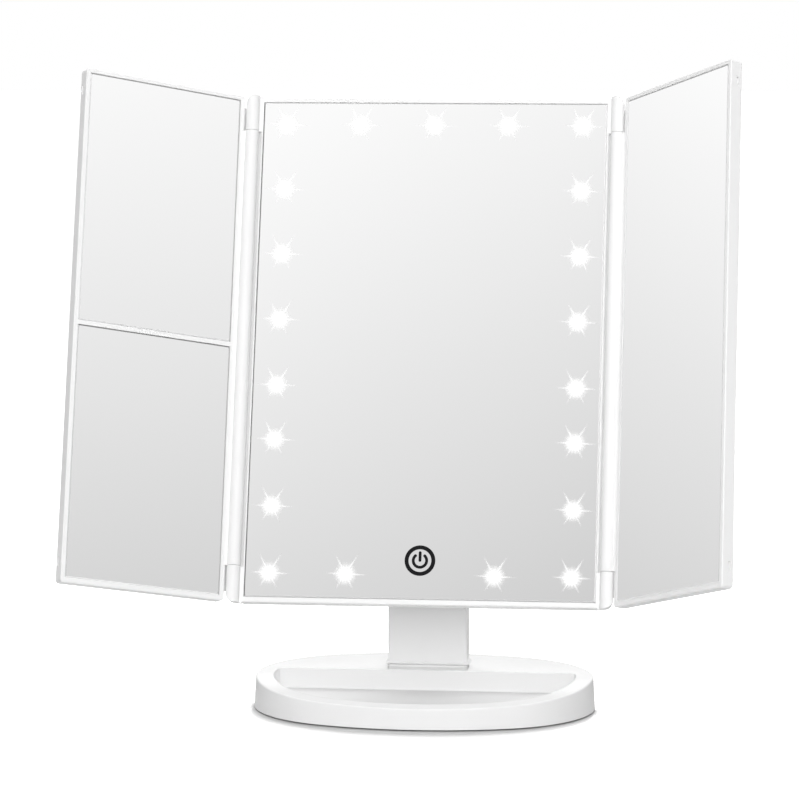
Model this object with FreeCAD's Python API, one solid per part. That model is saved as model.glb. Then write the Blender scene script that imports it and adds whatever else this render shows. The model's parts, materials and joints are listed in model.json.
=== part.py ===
import FreeCAD, Part
import math
import os
from FreeCAD import Placement, Rotation, Vector

# Trifold vanity mirror: a lit centre mirror and two folding wings on a stem and a tray base.
# Millimetres and degrees. Origin on the table under the middle of the base, +X right, +Y away
# from the person at the mirror, +Z up. The person looks along +Y.
#
# Head pieces are modelled in head axes: origin at the bottom middle of the centre glass,
# x right, y backwards from the front plane, z up the glass. Wing pieces are modelled in wing
# axes: origin on the hinge axis, x out along the open wing, y backwards, z up the glass.

# ---------------------------------------------------------------- how the mirror is set up
HEAD_TILT = 18.0
LEFT_WING_FOLD = 35.0
RIGHT_WING_FOLD = 52.0

# ---------------------------------------------------------------- base
BASE_HALF_WIDTH = 79.4
BASE_HALF_DEPTH = 59.0
BASE_LONG_RADIUS = 126.0
BASE_DRAFT = 0.8
BASE_TOP = 15.7
BASE_FRONT_TOP = 10.2
BASE_SLOPE_START = -7.0
BASE_CREASE_RADIUS = 80.0
BASE_WALL = 2.2
BASE_EDGE_BREAK = 1.0
PAD_THICK = 0.8
PAD_INSET = 10.0
BOTTOM_PLATE_THICK = 2.0
BOTTOM_PLATE_CLEARANCE = 0.15

TRAY_RIM = 8.3
TRAY_BACK_Y = 10.0
TRAY_DEPTH = 9.5
TRAY_WALL = 1.8
TRAY_CORNER_RADIUS = 3.0
TRAY_EDGE_BREAK = 0.5

# ---------------------------------------------------------------- stem
STEM_Y = 18.0
STEM_WIDTH = 37.5
STEM_THICK = 10.4
STEM_FOOT_THICK = 13.6
STEM_BULGE = 0.8
STEM_CORNER_RADIUS = 1.2
STEM_WALL = 2.0
STEM_COVER_THICK = 1.6
STEM_COVER_CLEARANCE = 0.15
STEM_LEDGE = 1.4
STEM_FLARE = 1.3
STEM_FLARE_THICK = 1.6
STEM_NECK_HEIGHT = 2.0
TONGUE_WIDTH = 30.0
TONGUE_THICK = 8.0
TONGUE_LENGTH = 9.0
SOCKET_CLEARANCE = 0.1
SOCKET_WALL = 1.8

# ---------------------------------------------------------------- tilt hinge
PIVOT_HEIGHT = 158.5
PIVOT_UP_GLASS = 112.0
PIVOT_DEPTH = 12.0
AXLE_DIAMETER = 4.0
AXLE_FIT = 0.05
AXLE_HEAD_DIAMETER = 7.0
AXLE_HEAD_THICK = 2.0
AXLE_SEAT = 0.02
AXLE_PAST_NUT = 1.0
AXLE_BOSS_DIAMETER = 9.0
AXLE_BOSS_LENGTH = 5.0
AXLE_NUT_FLATS = 7.0
AXLE_NUT_THICK = 3.0
WASHER_DIAMETER = 8.0
WASHER_GAP = 0.05

# ---------------------------------------------------------------- centre glass and its frame
GLASS_WIDTH = 163.4
GLASS_HEIGHT = 238.0
GLASS_THICK = 2.0
GLASS_CLEARANCE = 0.1
BEZEL_SIDE = 0.8
BEZEL_TOP = 2.0
BEZEL_BOTTOM = 2.4
GLASS_PLATE_THICK = 1.5
FRAME_DEPTH = 5.0
FRAME_WALL = 1.8
FRAME_FRONT_BREAK = 0.4
HEAD_DEPTH = 17.5
COVER_WALL = 1.8
COVER_EDGE_ROUND = 11.0

# ---------------------------------------------------------------- lamps and touch switch
LAMP_PITCH = 31.6
LAMP_EDGE_TOP = 11.0
LAMP_EDGE_BOTTOM = 11.4
LAMP_EDGE_SIDE = 11.4
LAMP_BOTTOM_X = 34.6
LAMP_WINDOW = 6.0
LED_SIZE = 3.0
LED_HEIGHT = 1.1
LAMP_BOARD_THICK = 1.0
LAMP_BOARD_WIDTH = 9.0
TOUCH_UP_GLASS = 18.3
TOUCH_PAD_DIAMETER = 13.0
TOUCH_PAD_THICK = 1.2
TOUCH_PAD_CLEARANCE = 0.2

# ---------------------------------------------------------------- stem channel in the back
CHANNEL_WIDTH = 41.0
CHANNEL_FLOOR_WALL = 1.4
CHANNEL_SIDE_WALL = 1.6
CHANNEL_PAST_PIVOT = 8.0

# ---------------------------------------------------------------- batteries
CELL_DIAMETER = 10.5
CELL_LENGTH = 43.3
CELL_NUB_DIAMETER = 3.8
CELL_NUB_LENGTH = 1.2
CELL_COUNT = 4
CELL_PITCH = 11.0
CELL_GAP = 0.25
SPRING_LENGTH = 4.6
SPRING_RADIUS_LARGE = 3.1
SPRING_RADIUS_SMALL = 1.8
CONTACT_THICK = 0.4
CONTACT_WIDTH = 8.6
CONTACT_DEPTH = 6.4
BAY_BOTTOM = 138.0
BAY_WALL = 1.6
DOOR_THICK = 1.3
DOOR_CLEARANCE = 0.2
TONGUE_TAB_X = 12.0
TONGUE_TAB_WIDTH = 6.0
TONGUE_TAB_REACH = 1.0
TONGUE_TAB_THICK = 1.2
TAB_SLOT_DEPTH = 3.4
TAB_SLOT_RUN = 0.5
FINGER_NOTCH_RADIUS = 7.0
FINGER_NOTCH_DEPTH = 0.9

# ---------------------------------------------------------------- charging board
USB_X = 44.0
USB_DEPTH = 9.3
USB_WIDTH = 7.6
USB_HEIGHT = 2.7
USB_LENGTH = 5.6
USB_WALL = 0.3
USB_TONGUE_WIDTH = 4.4
USB_TONGUE_THICK = 0.6
USB_TONGUE_SETBACK = 0.8
USB_PORT_CLEARANCE = 0.3
BOARD_WIDTH = 28.0
BOARD_LENGTH = 36.0
BOARD_THICK = 1.2
BOARD_POST_SPREAD = 10.0
BOARD_POST_RADIUS = 2.0

# ---------------------------------------------------------------- screws
SCREW_RADIUS = 1.0
SCREW_HEAD_RADIUS = 2.0
SCREW_HEAD_THICK = 1.4
SCREW_FIT = 0.02
SCREW_PASS = 0.1
SCREW_BOSS_RADIUS = 3.2
SCREW_LENGTH = 5.6
SCREW_TIP_ROOM = 0.4
SCREW_TIP_WALL = 1.0
COVER_SCREW_X = 62.0
COVER_SCREW_LOW = 20.0
COVER_SCREW_HIGH = 214.0
BASE_SCREW_X = 34.0
BASE_SCREW_Y = 36.0
STEM_SCREW_X = 8.0

# ---------------------------------------------------------------- wings and wing hinges
BARREL_RADIUS = 3.1
HINGE_GAP = 1.1
HINGE_PROUD = 1.5
KNUCKLE_LENGTH = 17.0
KNUCKLE_CORNER_RADIUS = 4.2
KNUCKLE_RISE = 0.5
KNUCKLE_WEB_SPREAD = 1.5
KNUCKLE_END_GAP = 0.3
HINGE_PIN_DIAMETER = 2.4
HINGE_PIN_LENGTH = 16.0
HINGE_PIN_FIT = 0.05
HINGE_PIN_SEAT = 0.02
HINGE_PIN_END_GAP = 0.2
WING_INNER_GAP = 0.6
WING_MEETING_GAP = 0.8
WING_BEZEL_INNER = 2.5
WING_BEZEL_OUTER = 2.0
WING_DIVIDER = 2.2
WING_DEPTH = 6.7
WING_FRAME_DEPTH = 4.9
WING_PLATE_THICK = 1.2
WING_WALL = 1.5
WING_CORNER_RADIUS = 1.6
WING_COVER_BREAK = 1.0
WING_LIP_CLEARANCE = 0.15
WING_LIP_THICK = 1.0
WING_LIP_DEPTH = 1.2
WING_WEB_SETBACK = 1.0
SNAP_LENGTH = 4.0
SNAP_DEPTH = 1.4
SNAP_FROM_END = 8.0
SNAP_CLEARANCE = 0.2

# ------------------------------------------- cutting blocks' overrun, and what counts as level
BEYOND = 100.0
NEAR = 0.01

# ---------------------------------------------------------------- worked-out sizes
FRAME_HALF_WIDTH = GLASS_WIDTH / 2 + GLASS_CLEARANCE + BEZEL_SIDE
FRAME_LOW = -GLASS_CLEARANCE - BEZEL_BOTTOM
FRAME_HIGH = GLASS_HEIGHT + GLASS_CLEARANCE + BEZEL_TOP
FRAME_MIDDLE = (FRAME_LOW + FRAME_HIGH) / 2
PLATE_FRONT = GLASS_CLEARANCE + GLASS_THICK
PLATE_BACK = PLATE_FRONT + GLASS_PLATE_THICK
HINGE_X = FRAME_HALF_WIDTH + HINGE_GAP + BARREL_RADIUS
KNUCKLE_TOP = FRAME_HIGH + KNUCKLE_RISE
KNUCKLE_SEAM = KNUCKLE_TOP - KNUCKLE_LENGTH
BARREL_HIGH = KNUCKLE_SEAM - KNUCKLE_END_GAP
BARREL_LOW = 2 * FRAME_MIDDLE - BARREL_HIGH
WING_INNER = math.sqrt((BARREL_RADIUS + WING_INNER_GAP) ** 2 - HINGE_PROUD ** 2)
WING_OUTER = HINGE_X - WING_MEETING_GAP / 2
WING_GLASS_INNER = WING_INNER + WING_BEZEL_INNER + GLASS_CLEARANCE
WING_GLASS_OUTER = WING_OUTER - WING_BEZEL_OUTER - GLASS_CLEARANCE
WING_FRONT = HINGE_PROUD
WING_PLATE_FRONT = WING_FRONT + GLASS_CLEARANCE + GLASS_THICK
WING_PLATE_BACK = WING_PLATE_FRONT + WING_PLATE_THICK
WING_FRAME_BACK = WING_FRONT + WING_FRAME_DEPTH
WING_BACK = WING_FRONT + WING_DEPTH
SNAP_FRONT = WING_PLATE_BACK

CHANNEL_FLOOR = FRAME_DEPTH + CHANNEL_FLOOR_WALL
CHANNEL_TOP = PIVOT_UP_GLASS + CHANNEL_PAST_PIVOT
WASHER_THICK = (CHANNEL_WIDTH - STEM_WIDTH) / 2 - WASHER_GAP * 2
AXLE_BOSS_END = CHANNEL_WIDTH / 2 + CHANNEL_SIDE_WALL + AXLE_BOSS_LENGTH

BAY_WIDTH = CELL_PITCH * (CELL_COUNT - 1) + CELL_DIAMETER + 2 * CELL_GAP
BAY_LENGTH = 2 * CONTACT_THICK + SPRING_LENGTH + CELL_LENGTH + CELL_NUB_LENGTH
BAY_TOP = BAY_BOTTOM + BAY_LENGTH
DOOR_FRONT = HEAD_DEPTH - DOOR_THICK
BAY_FLOOR = DOOR_FRONT - CELL_GAP - CELL_DIAMETER - CELL_GAP
DOOR_HALF_WIDTH = BAY_WIDTH / 2 + BAY_WALL - DOOR_CLEARANCE
DOOR_LOW = BAY_BOTTOM - BAY_WALL + DOOR_CLEARANCE
DOOR_HIGH = BAY_TOP + BAY_WALL - DOOR_CLEARANCE
COVER_SKIN = HEAD_DEPTH - COVER_WALL

BASE_SHELL_BOTTOM = PAD_THICK
BOTTOM_PLATE_TOP = BASE_SHELL_BOTTOM + BOTTOM_PLATE_THICK
TRAY_FLOOR = BASE_TOP - TRAY_DEPTH
TONGUE_BOTTOM = BASE_TOP - TONGUE_LENGTH
SOCKET_BOTTOM = TONGUE_BOTTOM - SOCKET_WALL
STEM_FRONT = STEM_Y - STEM_THICK / 2
STEM_FLARE_BOTTOM = BASE_TOP + STEM_NECK_HEIGHT

HEAD = Placement(Vector(0, STEM_Y, PIVOT_HEIGHT), Rotation(Vector(1, 0, 0), -HEAD_TILT)).multiply(
    Placement(Vector(0, -PIVOT_DEPTH, -PIVOT_UP_GLASS), Rotation()))


# ---------------------------------------------------------------- small helpers
def box(x0, x1, y0, y1, z0, z1):
    """Block between two corners."""
    return Part.makeBox(x1 - x0, y1 - y0, z1 - z0, Vector(x0, y0, z0))


def cylinder(radius, start, end):
    """Round bar of one radius from one point to another."""
    start, end = Vector(*start), Vector(*end)
    return Part.makeCylinder(radius, (end - start).Length, start, end - start)


def eight_sided(radius, end_radius, start, end):
    """Eight-sided bar or taper between two points, with its corners at the given radii."""
    start, end = Vector(*start), Vector(*end)
    turn = Rotation(Vector(0, 0, 1), end - start)
    angles = [k * math.pi / 4 for k in range(9)]
    spokes = [turn.multVec(Vector(math.cos(a), math.sin(a), 0)) for a in angles]
    rings = []
    for centre, size in ((start, radius), (end, end_radius)):
        rings.append(Part.makePolygon([centre + spoke * size for spoke in spokes]))
    return Part.makeLoft(rings, True, True)


def screw_bore(clearance, start, end):
    """Bore for a screw's shank, larger all round by a clearance."""
    radius = SCREW_RADIUS + clearance
    return eight_sided(radius, radius, start, end)


def prism(points, direction):
    """Closed polygon pushed along a direction."""
    wire = Part.makePolygon([Vector(*p) for p in points] + [Vector(*points[0])])
    return Part.Face(wire).extrude(Vector(*direction))


def rounded_plate(x0, x1, z0, z1, y0, y1, radii):
    """Plate in the XZ plane with its own radius at each corner: low-x low-z, then round
    through low-x high-z and high-x high-z to high-x low-z."""
    corners = [(x0, z0), (x0, z1), (x1, z1), (x1, z0)]
    turns = [((1, 0), (0, 1)), ((0, -1), (1, 0)), ((-1, 0), (0, -1)), ((0, 1), (-1, 0))]
    edges = []
    ends = []
    for (x, z), (before, after), radius in zip(corners, turns, radii):
        start = Vector(x + before[0] * radius, y0, z + before[1] * radius)
        end = Vector(x + after[0] * radius, y0, z + after[1] * radius)
        if radius > 0:
            bite = radius * (1 - math.sqrt(0.5))
            middle = Vector(x + (before[0] + after[0]) * bite, y0, z + (before[1] + after[1]) * bite)
            edges.append(Part.Arc(start, middle, end).toShape())
        ends.append((start, end))
    for corner in range(4):
        edges.append(Part.LineSegment(ends[corner - 1][1], ends[corner][0]).toShape())
    outline = Part.Wire(Part.__sortEdges__(edges))
    return Part.Face(outline).extrude(Vector(0, y1 - y0, 0))


def edges_where(shape, test):
    """Edges whose every vertex and middle point pass a test."""
    chosen = []
    for edge in shape.Edges:
        first, last = edge.ParameterRange
        points = [edge.valueAt(first), edge.valueAt((first + last) / 2), edge.valueAt(last)]
        if all(test(p) for p in points):
            chosen.append(edge)
    return chosen


def upright_edges(shape):
    """Edges that start off upright."""
    return [e for e in shape.Edges if abs(e.tangentAt(e.FirstParameter).z) > 1 - NEAR]


def export(node, shape):
    """Writes one sub-part."""
    shape.exportStep("parts/" + node + ".step")


# ---------------------------------------------------------------- base
def base_arcs(inset):
    """Distance of the end arcs' centres, their radius and the long arcs' radius."""
    corners = BASE_HALF_WIDTH ** 2 + BASE_HALF_DEPTH ** 2 - 2 * BASE_LONG_RADIUS * BASE_HALF_DEPTH
    end_radius = corners / (2 * (BASE_HALF_WIDTH - BASE_LONG_RADIUS))
    return BASE_HALF_WIDTH - end_radius, end_radius - inset, BASE_LONG_RADIUS - inset


def base_oval(inset, z):
    """Outline of the base: two tight end arcs and two long arcs, tangent to each other."""
    half_width = BASE_HALF_WIDTH - inset
    half_depth = BASE_HALF_DEPTH - inset
    reach, end, long_radius = base_arcs(inset)
    tangent_x = reach + end * reach / (long_radius - end)
    tangent_y = end * (long_radius - half_depth) / (long_radius - end)
    right_back = Vector(tangent_x, tangent_y, z)
    left_back = Vector(-tangent_x, tangent_y, z)
    left_front = Vector(-tangent_x, -tangent_y, z)
    right_front = Vector(tangent_x, -tangent_y, z)
    arcs = [
        Part.Arc(right_back, Vector(0, half_depth, z), left_back),
        Part.Arc(left_back, Vector(-half_width, 0, z), left_front),
        Part.Arc(left_front, Vector(0, -half_depth, z), right_front),
        Part.Arc(right_front, Vector(half_width, 0, z), right_back),
    ]
    return Part.Wire([arc.toShape() for arc in arcs])


def drafted_disc(radius, x, y):
    """Upright cone frustum of one radius at the base's top, wider by the draft at its foot."""
    height = BASE_TOP - BASE_SHELL_BOTTOM
    return Part.makeCone(radius + BASE_DRAFT, radius, height, Vector(x, y, BASE_SHELL_BOTTOM))


def base_outside():
    """Drafted outside of the base: the long cones crossed between the tangent lines, with a
    tight cone at each end."""
    reach, end, long_radius = base_arcs(0)
    centre_y = long_radius - BASE_HALF_DEPTH
    middle = drafted_disc(long_radius, 0, centre_y).common(drafted_disc(long_radius, 0, -centre_y))
    far_x, far_y = 3 * reach, 2 * centre_y
    waist = prism([(reach, 0, 0), (far_x, far_y, 0), (-far_x, far_y, 0), (-reach, 0, 0), (-far_x, -far_y, 0),
                   (far_x, -far_y, 0)], (0, 0, BASE_TOP))
    ends = [drafted_disc(end, side * reach, 0) for side in (-1, 1)]
    return middle.common(waist).fuse(ends).removeSplitter()


def oval_prism(inset, z0, z1):
    """Upright solid on the base outline."""
    return Part.Face(base_oval(inset, z0)).extrude(Vector(0, 0, z1 - z0))


def above_base_top(lower):
    """Everything above the base's top surface: level behind, sloping down to the front."""
    fall = (BASE_TOP - BASE_FRONT_TOP) / (BASE_HALF_DEPTH + BASE_SLOPE_START)
    slope = math.atan(fall)
    reach = BASE_CREASE_RADIUS * math.tan(slope / 2)
    side = BASE_HALF_WIDTH + BEYOND
    front_y = -BASE_HALF_DEPTH - BEYOND
    top = BASE_TOP - lower
    crease_y = BASE_SLOPE_START
    front = Vector(-side, front_y, top + (front_y - crease_y) * fall)
    arc_front = Vector(-side, crease_y - reach * math.cos(slope), top - reach * math.sin(slope))
    arc_back = Vector(-side, crease_y + reach, top)
    centre = Vector(-side, crease_y + reach, top - BASE_CREASE_RADIUS)
    half = slope / 2
    arc_middle = centre + Vector(0, -math.sin(half), math.cos(half)) * BASE_CREASE_RADIUS
    back = Vector(-side, BASE_HALF_DEPTH + BEYOND, top)
    high_back = Vector(-side, BASE_HALF_DEPTH + BEYOND, BASE_TOP + BEYOND)
    high_front = Vector(-side, front_y, BASE_TOP + BEYOND)
    edges = [
        Part.LineSegment(front, arc_front).toShape(),
        Part.Arc(arc_front, arc_middle, arc_back).toShape(),
        Part.LineSegment(arc_back, back).toShape(),
        Part.LineSegment(back, high_back).toShape(),
        Part.LineSegment(high_back, high_front).toShape(),
        Part.LineSegment(high_front, front).toShape(),
    ]
    return Part.Face(Part.Wire(edges)).extrude(Vector(2 * side, 0, 0))


def tray_prism(grow, floor):
    """The half-moon tray from a floor level up, grown outwards by a wall."""
    body = oval_prism(TRAY_RIM - grow, floor, BASE_TOP + BEYOND)
    body = body.cut(box(-BEYOND, BEYOND, TRAY_BACK_Y + grow, BEYOND, -BEYOND, BEYOND))
    return body.makeFillet(TRAY_CORNER_RADIUS + grow, [
        e for e in upright_edges(body) if abs(e.valueAt(e.FirstParameter).y - TRAY_BACK_Y - grow) < NEAR])


def base_shell():
    """Moulded tray base: open underneath, with the tray, the stem socket and screw bosses."""
    outer = base_outside().cut(above_base_top(0))
    rim = edges_where(outer, lambda p: p.z > BASE_FRONT_TOP - BASE_EDGE_BREAK)
    outer = outer.makeChamfer(BASE_EDGE_BREAK, rim)

    outer = outer.cut(tray_prism(0, TRAY_FLOOR))
    rim_middle = Part.Face(base_oval(TRAY_RIM / 2, 0))
    lip_low = (TRAY_FLOOR + BASE_FRONT_TOP) / 2
    lip = edges_where(outer, lambda p: p.z > lip_low and p.y < TRAY_BACK_Y + NEAR
                      and rim_middle.isInside(Vector(p.x, p.y, 0), NEAR, True))
    outer = outer.makeChamfer(TRAY_EDGE_BREAK, lip)

    hollow = oval_prism(BASE_WALL, 0, BASE_TOP).cut(above_base_top(BASE_WALL))
    hollow = hollow.cut(tray_prism(TRAY_WALL, TRAY_FLOOR - TRAY_WALL))
    socket_x = TONGUE_WIDTH / 2 + SOCKET_CLEARANCE
    socket_y = TONGUE_THICK / 2 + SOCKET_CLEARANCE
    hollow = hollow.cut(box(-socket_x - SOCKET_WALL, socket_x + SOCKET_WALL, STEM_Y - socket_y - SOCKET_WALL,
                            STEM_Y + socket_y + SOCKET_WALL, SOCKET_BOTTOM, BASE_TOP))
    for side in (-1, 1):
        place = (side * BASE_SCREW_X, BASE_SCREW_Y)
        hollow = hollow.cut(eight_sided(SCREW_BOSS_RADIUS, SCREW_BOSS_RADIUS, place + (BOTTOM_PLATE_TOP,),
                                        place + (BASE_TOP,)))
    shell = outer.cut(hollow)

    shell = shell.cut(box(-socket_x, socket_x, STEM_Y - socket_y, STEM_Y + socket_y, TONGUE_BOTTOM,
                          BASE_TOP + BEYOND))
    for side in (-1, 1):
        screw_hole = (side * BASE_SCREW_X, BASE_SCREW_Y)
        tip = BASE_SHELL_BOTTOM + SCREW_HEAD_THICK + SCREW_LENGTH
        shell = shell.cut(screw_bore(SCREW_FIT, screw_hole + (BASE_SHELL_BOTTOM,),
                                     screw_hole + (tip + SCREW_TIP_ROOM,)))
        stem_hole = (side * STEM_SCREW_X, STEM_Y)
        shell = shell.cut(screw_bore(SCREW_FIT, stem_hole + (0,), stem_hole + (BASE_TOP,)))
    return shell.removeSplitter()


def base_bottom_plate():
    """Flat cover under the base, with screw holes that sink the heads."""
    plate = oval_prism(BASE_WALL + BOTTOM_PLATE_CLEARANCE, BASE_SHELL_BOTTOM, BOTTOM_PLATE_TOP)
    for side in (-1, 1):
        x = side * BASE_SCREW_X
        plate = plate.cut(cylinder(SCREW_HEAD_RADIUS + SCREW_PASS, (x, BASE_SCREW_Y, 0),
                                   (x, BASE_SCREW_Y, BASE_SHELL_BOTTOM + SCREW_HEAD_THICK)))
        plate = plate.cut(screw_bore(SCREW_PASS, (x, BASE_SCREW_Y, 0), (x, BASE_SCREW_Y, BASE_TOP)))
    return plate


def non_slip_pad():
    """Rubber pad under the bottom plate: the base stands on it, and it hides the screws."""
    return oval_prism(PAD_INSET, 0, PAD_THICK)


def screw(place, direction, length):
    """Pan-head screw: its head's outer face at a place, its shank of a length beyond the head."""
    place, direction = Vector(*place), Vector(*direction)
    head = Part.makeCylinder(SCREW_HEAD_RADIUS, SCREW_HEAD_THICK, place, direction)
    tip = place + direction * (SCREW_HEAD_THICK + length)
    shank = eight_sided(SCREW_RADIUS, SCREW_RADIUS, place, tip)
    return head.fuse(shank).removeSplitter()


def base_screws():
    """Two screws that hold the bottom plate."""
    places = [(side * BASE_SCREW_X, BASE_SCREW_Y, BASE_SHELL_BOTTOM) for side in (-1, 1)]
    return Part.makeCompound([screw(place, (0, 0, 1), SCREW_LENGTH) for place in places])


def stem_screws():
    """Two screws up through the socket's floor into the stem."""
    start = SOCKET_BOTTOM - SCREW_HEAD_THICK
    places = [(side * STEM_SCREW_X, STEM_Y, start) for side in (-1, 1)]
    return Part.makeCompound([screw(place, (0, 0, 1), SCREW_LENGTH) for place in places])


# ---------------------------------------------------------------- stem
def stem_plan(grow, z0, z1, back):
    """Upright block on the stem's plan: bulged front, rounded corners, straight sides."""
    half = STEM_WIDTH / 2 + grow
    front = STEM_FRONT - grow
    left_front = Vector(-half, front + STEM_BULGE, z0)
    right_front = Vector(half, front + STEM_BULGE, z0)
    edges = [
        Part.Arc(left_front, Vector(0, front, z0), right_front).toShape(),
        Part.LineSegment(right_front, Vector(half, back + grow, z0)).toShape(),
        Part.LineSegment(Vector(half, back + grow, z0), Vector(-half, back + grow, z0)).toShape(),
        Part.LineSegment(Vector(-half, back + grow, z0), left_front).toShape(),
    ]
    block = Part.Face(Part.Wire(edges)).extrude(Vector(0, 0, z1 - z0))
    return block.makeFillet(STEM_CORNER_RADIUS, upright_edges(block))


def stem_side(front_in, back_in, z0, end_radius):
    """Side view pushed across the stem: straight front, back that thickens towards the foot."""
    half = STEM_THICK / 2
    foot_back = STEM_FRONT + STEM_FOOT_THICK
    pivot = (STEM_Y, PIVOT_HEIGHT)
    width = 2 * STEM_WIDTH
    points = [(-width / 2, STEM_FRONT + front_in, z0), (-width / 2, foot_back - back_in, z0),
              (-width / 2, STEM_Y + half - back_in, pivot[1]), (-width / 2, STEM_FRONT + front_in, pivot[1])]
    body = prism(points, (width, 0, 0))
    if end_radius > 0:
        body = body.fuse(cylinder(end_radius, (-width / 2,) + pivot, (width / 2,) + pivot))
    return body


def stem_hollow_top():
    """Height where the stem's hollow stops below the tilt hinge."""
    return PIVOT_HEIGHT - STEM_THICK / 2 - STEM_WALL


def stem_shell():
    """Stem: front and side walls, solid round end for the axle, flared foot and base tongue."""
    back = STEM_FRONT + STEM_FOOT_THICK
    plan = stem_plan(0, BASE_TOP, PIVOT_HEIGHT + STEM_THICK, back)
    body = plan.common(stem_side(0, 0, BASE_TOP, STEM_THICK / 2))
    body = body.fuse(stem_flare(back))
    tongue = box(-TONGUE_WIDTH / 2, TONGUE_WIDTH / 2, STEM_Y - TONGUE_THICK / 2, STEM_Y + TONGUE_THICK / 2,
                 TONGUE_BOTTOM, BASE_TOP)
    body = body.fuse(tongue).removeSplitter()

    inner = STEM_WIDTH / 2 - STEM_WALL
    low = STEM_FLARE_BOTTOM + STEM_FLARE_THICK + STEM_WALL
    high = stem_hollow_top()
    hollow = box(-inner, inner, STEM_FRONT + STEM_BULGE + STEM_WALL, BEYOND, low, high)
    body = body.cut(hollow)
    body = body.cut(stem_cover_block(STEM_COVER_CLEARANCE))
    pivot = (STEM_Y, PIVOT_HEIGHT)
    body = body.cut(cylinder(AXLE_DIAMETER / 2 + AXLE_FIT, (-STEM_WIDTH,) + pivot, (STEM_WIDTH,) + pivot))
    tip = SOCKET_BOTTOM + SCREW_LENGTH
    for side in (-1, 1):
        x = side * STEM_SCREW_X
        body = body.cut(screw_bore(SCREW_FIT, (x, STEM_Y, 0), (x, STEM_Y, tip + SCREW_TIP_ROOM)))
    return body


def stem_flare(back):
    """Thin flared collar round the foot, a little above the base."""
    middle = STEM_FLARE_BOTTOM + STEM_FLARE_THICK / 2
    low = stem_plan_wire(0, STEM_FLARE_BOTTOM, back)
    wide = stem_plan_wire(STEM_FLARE, middle, back)
    high = stem_plan_wire(0, STEM_FLARE_BOTTOM + STEM_FLARE_THICK, back)
    lower = Part.makeLoft([low, wide], True, True)
    upper = Part.makeLoft([wide, high], True, True)
    return lower.fuse(upper)


def stem_plan_wire(grow, z, back):
    """Outline of the stem's plan at one height."""
    block = stem_plan(grow, z, z + STEM_FLARE_THICK, back)
    bottom = [f for f in block.Faces if abs(f.CenterOfMass.z - z) < NEAR][0]
    return bottom.OuterWire


def stem_cover_block(clearance):
    """Sloping plate in the stem's back, larger all round by a clearance."""
    reach = STEM_WIDTH / 2 - STEM_WALL + STEM_LEDGE + clearance
    low = STEM_FLARE_BOTTOM + STEM_FLARE_THICK + STEM_WALL - STEM_LEDGE - clearance
    high = stem_hollow_top() + STEM_LEDGE + clearance
    outer = stem_side(0, 0, BASE_TOP, 0)
    inner = stem_side(-STEM_WALL, STEM_COVER_THICK, BASE_TOP, 0)
    return outer.cut(inner).common(box(-reach, reach, 0, BEYOND, low, high))


def stem_rear_cover():
    """Plate that closes the back of the stem."""
    return stem_cover_block(0)


# ---------------------------------------------------------------- tilt hinge
def tilt_axle():
    """Steel pin across the stem channel, with a pan head on one side."""
    pivot = (PIVOT_DEPTH, PIVOT_UP_GLASS)
    start = (-AXLE_BOSS_END - AXLE_HEAD_THICK,) + pivot
    shank = cylinder(AXLE_DIAMETER / 2, start, (AXLE_BOSS_END + AXLE_NUT_THICK + AXLE_PAST_NUT,) + pivot)
    head = cylinder(AXLE_HEAD_DIAMETER / 2, start, (-AXLE_BOSS_END,) + pivot)
    return shank.fuse(head).removeSplitter()


def axle_nut():
    """Hexagon nut that sets how tight the tilt is."""
    corner = AXLE_NUT_FLATS / math.sqrt(3)
    angles = [math.radians(60 * k + 30) for k in range(6)]
    points = [(AXLE_BOSS_END, PIVOT_DEPTH + corner * math.cos(a), PIVOT_UP_GLASS + corner * math.sin(a))
              for a in angles]
    nut = prism(points, (AXLE_NUT_THICK, 0, 0))
    pivot = (PIVOT_DEPTH, PIVOT_UP_GLASS)
    return nut.cut(cylinder(AXLE_DIAMETER / 2 + AXLE_SEAT, (0,) + pivot, (BEYOND,) + pivot))


def friction_washers():
    """Two plastic washers between the stem and the channel's side walls."""
    pivot = (PIVOT_DEPTH, PIVOT_UP_GLASS)
    bore = cylinder(AXLE_DIAMETER / 2 + AXLE_FIT, (-BEYOND,) + pivot, (BEYOND,) + pivot)
    washers = []
    for side in (-1, 1):
        near = side * (STEM_WIDTH / 2 + WASHER_GAP)
        far = side * (STEM_WIDTH / 2 + WASHER_GAP + WASHER_THICK)
        ring = cylinder(WASHER_DIAMETER / 2, (near,) + pivot, (far,) + pivot)
        washers.append(ring.cut(bore))
    return Part.makeCompound(washers)


# ---------------------------------------------------------------- centre frame and glass
def lamp_places():
    """Middles of the lamps on the glass: five across the top, a column of seven down each
    side that is counted from both ends, and two more along the bottom."""
    side_x = GLASS_WIDTH / 2 - LAMP_EDGE_SIDE
    top = GLASS_HEIGHT - LAMP_EDGE_TOP
    places = [(side_x * k / 2, top) for k in range(-2, 3)]
    heights = [top - LAMP_PITCH * k for k in range(1, 5)]
    heights += [LAMP_EDGE_BOTTOM + LAMP_PITCH * k for k in range(3)]
    places += [(side * side_x, height) for side in (-1, 1) for height in heights]
    places += [(side * LAMP_BOTTOM_X, LAMP_EDGE_BOTTOM) for side in (-1, 1)]
    return places


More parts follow.
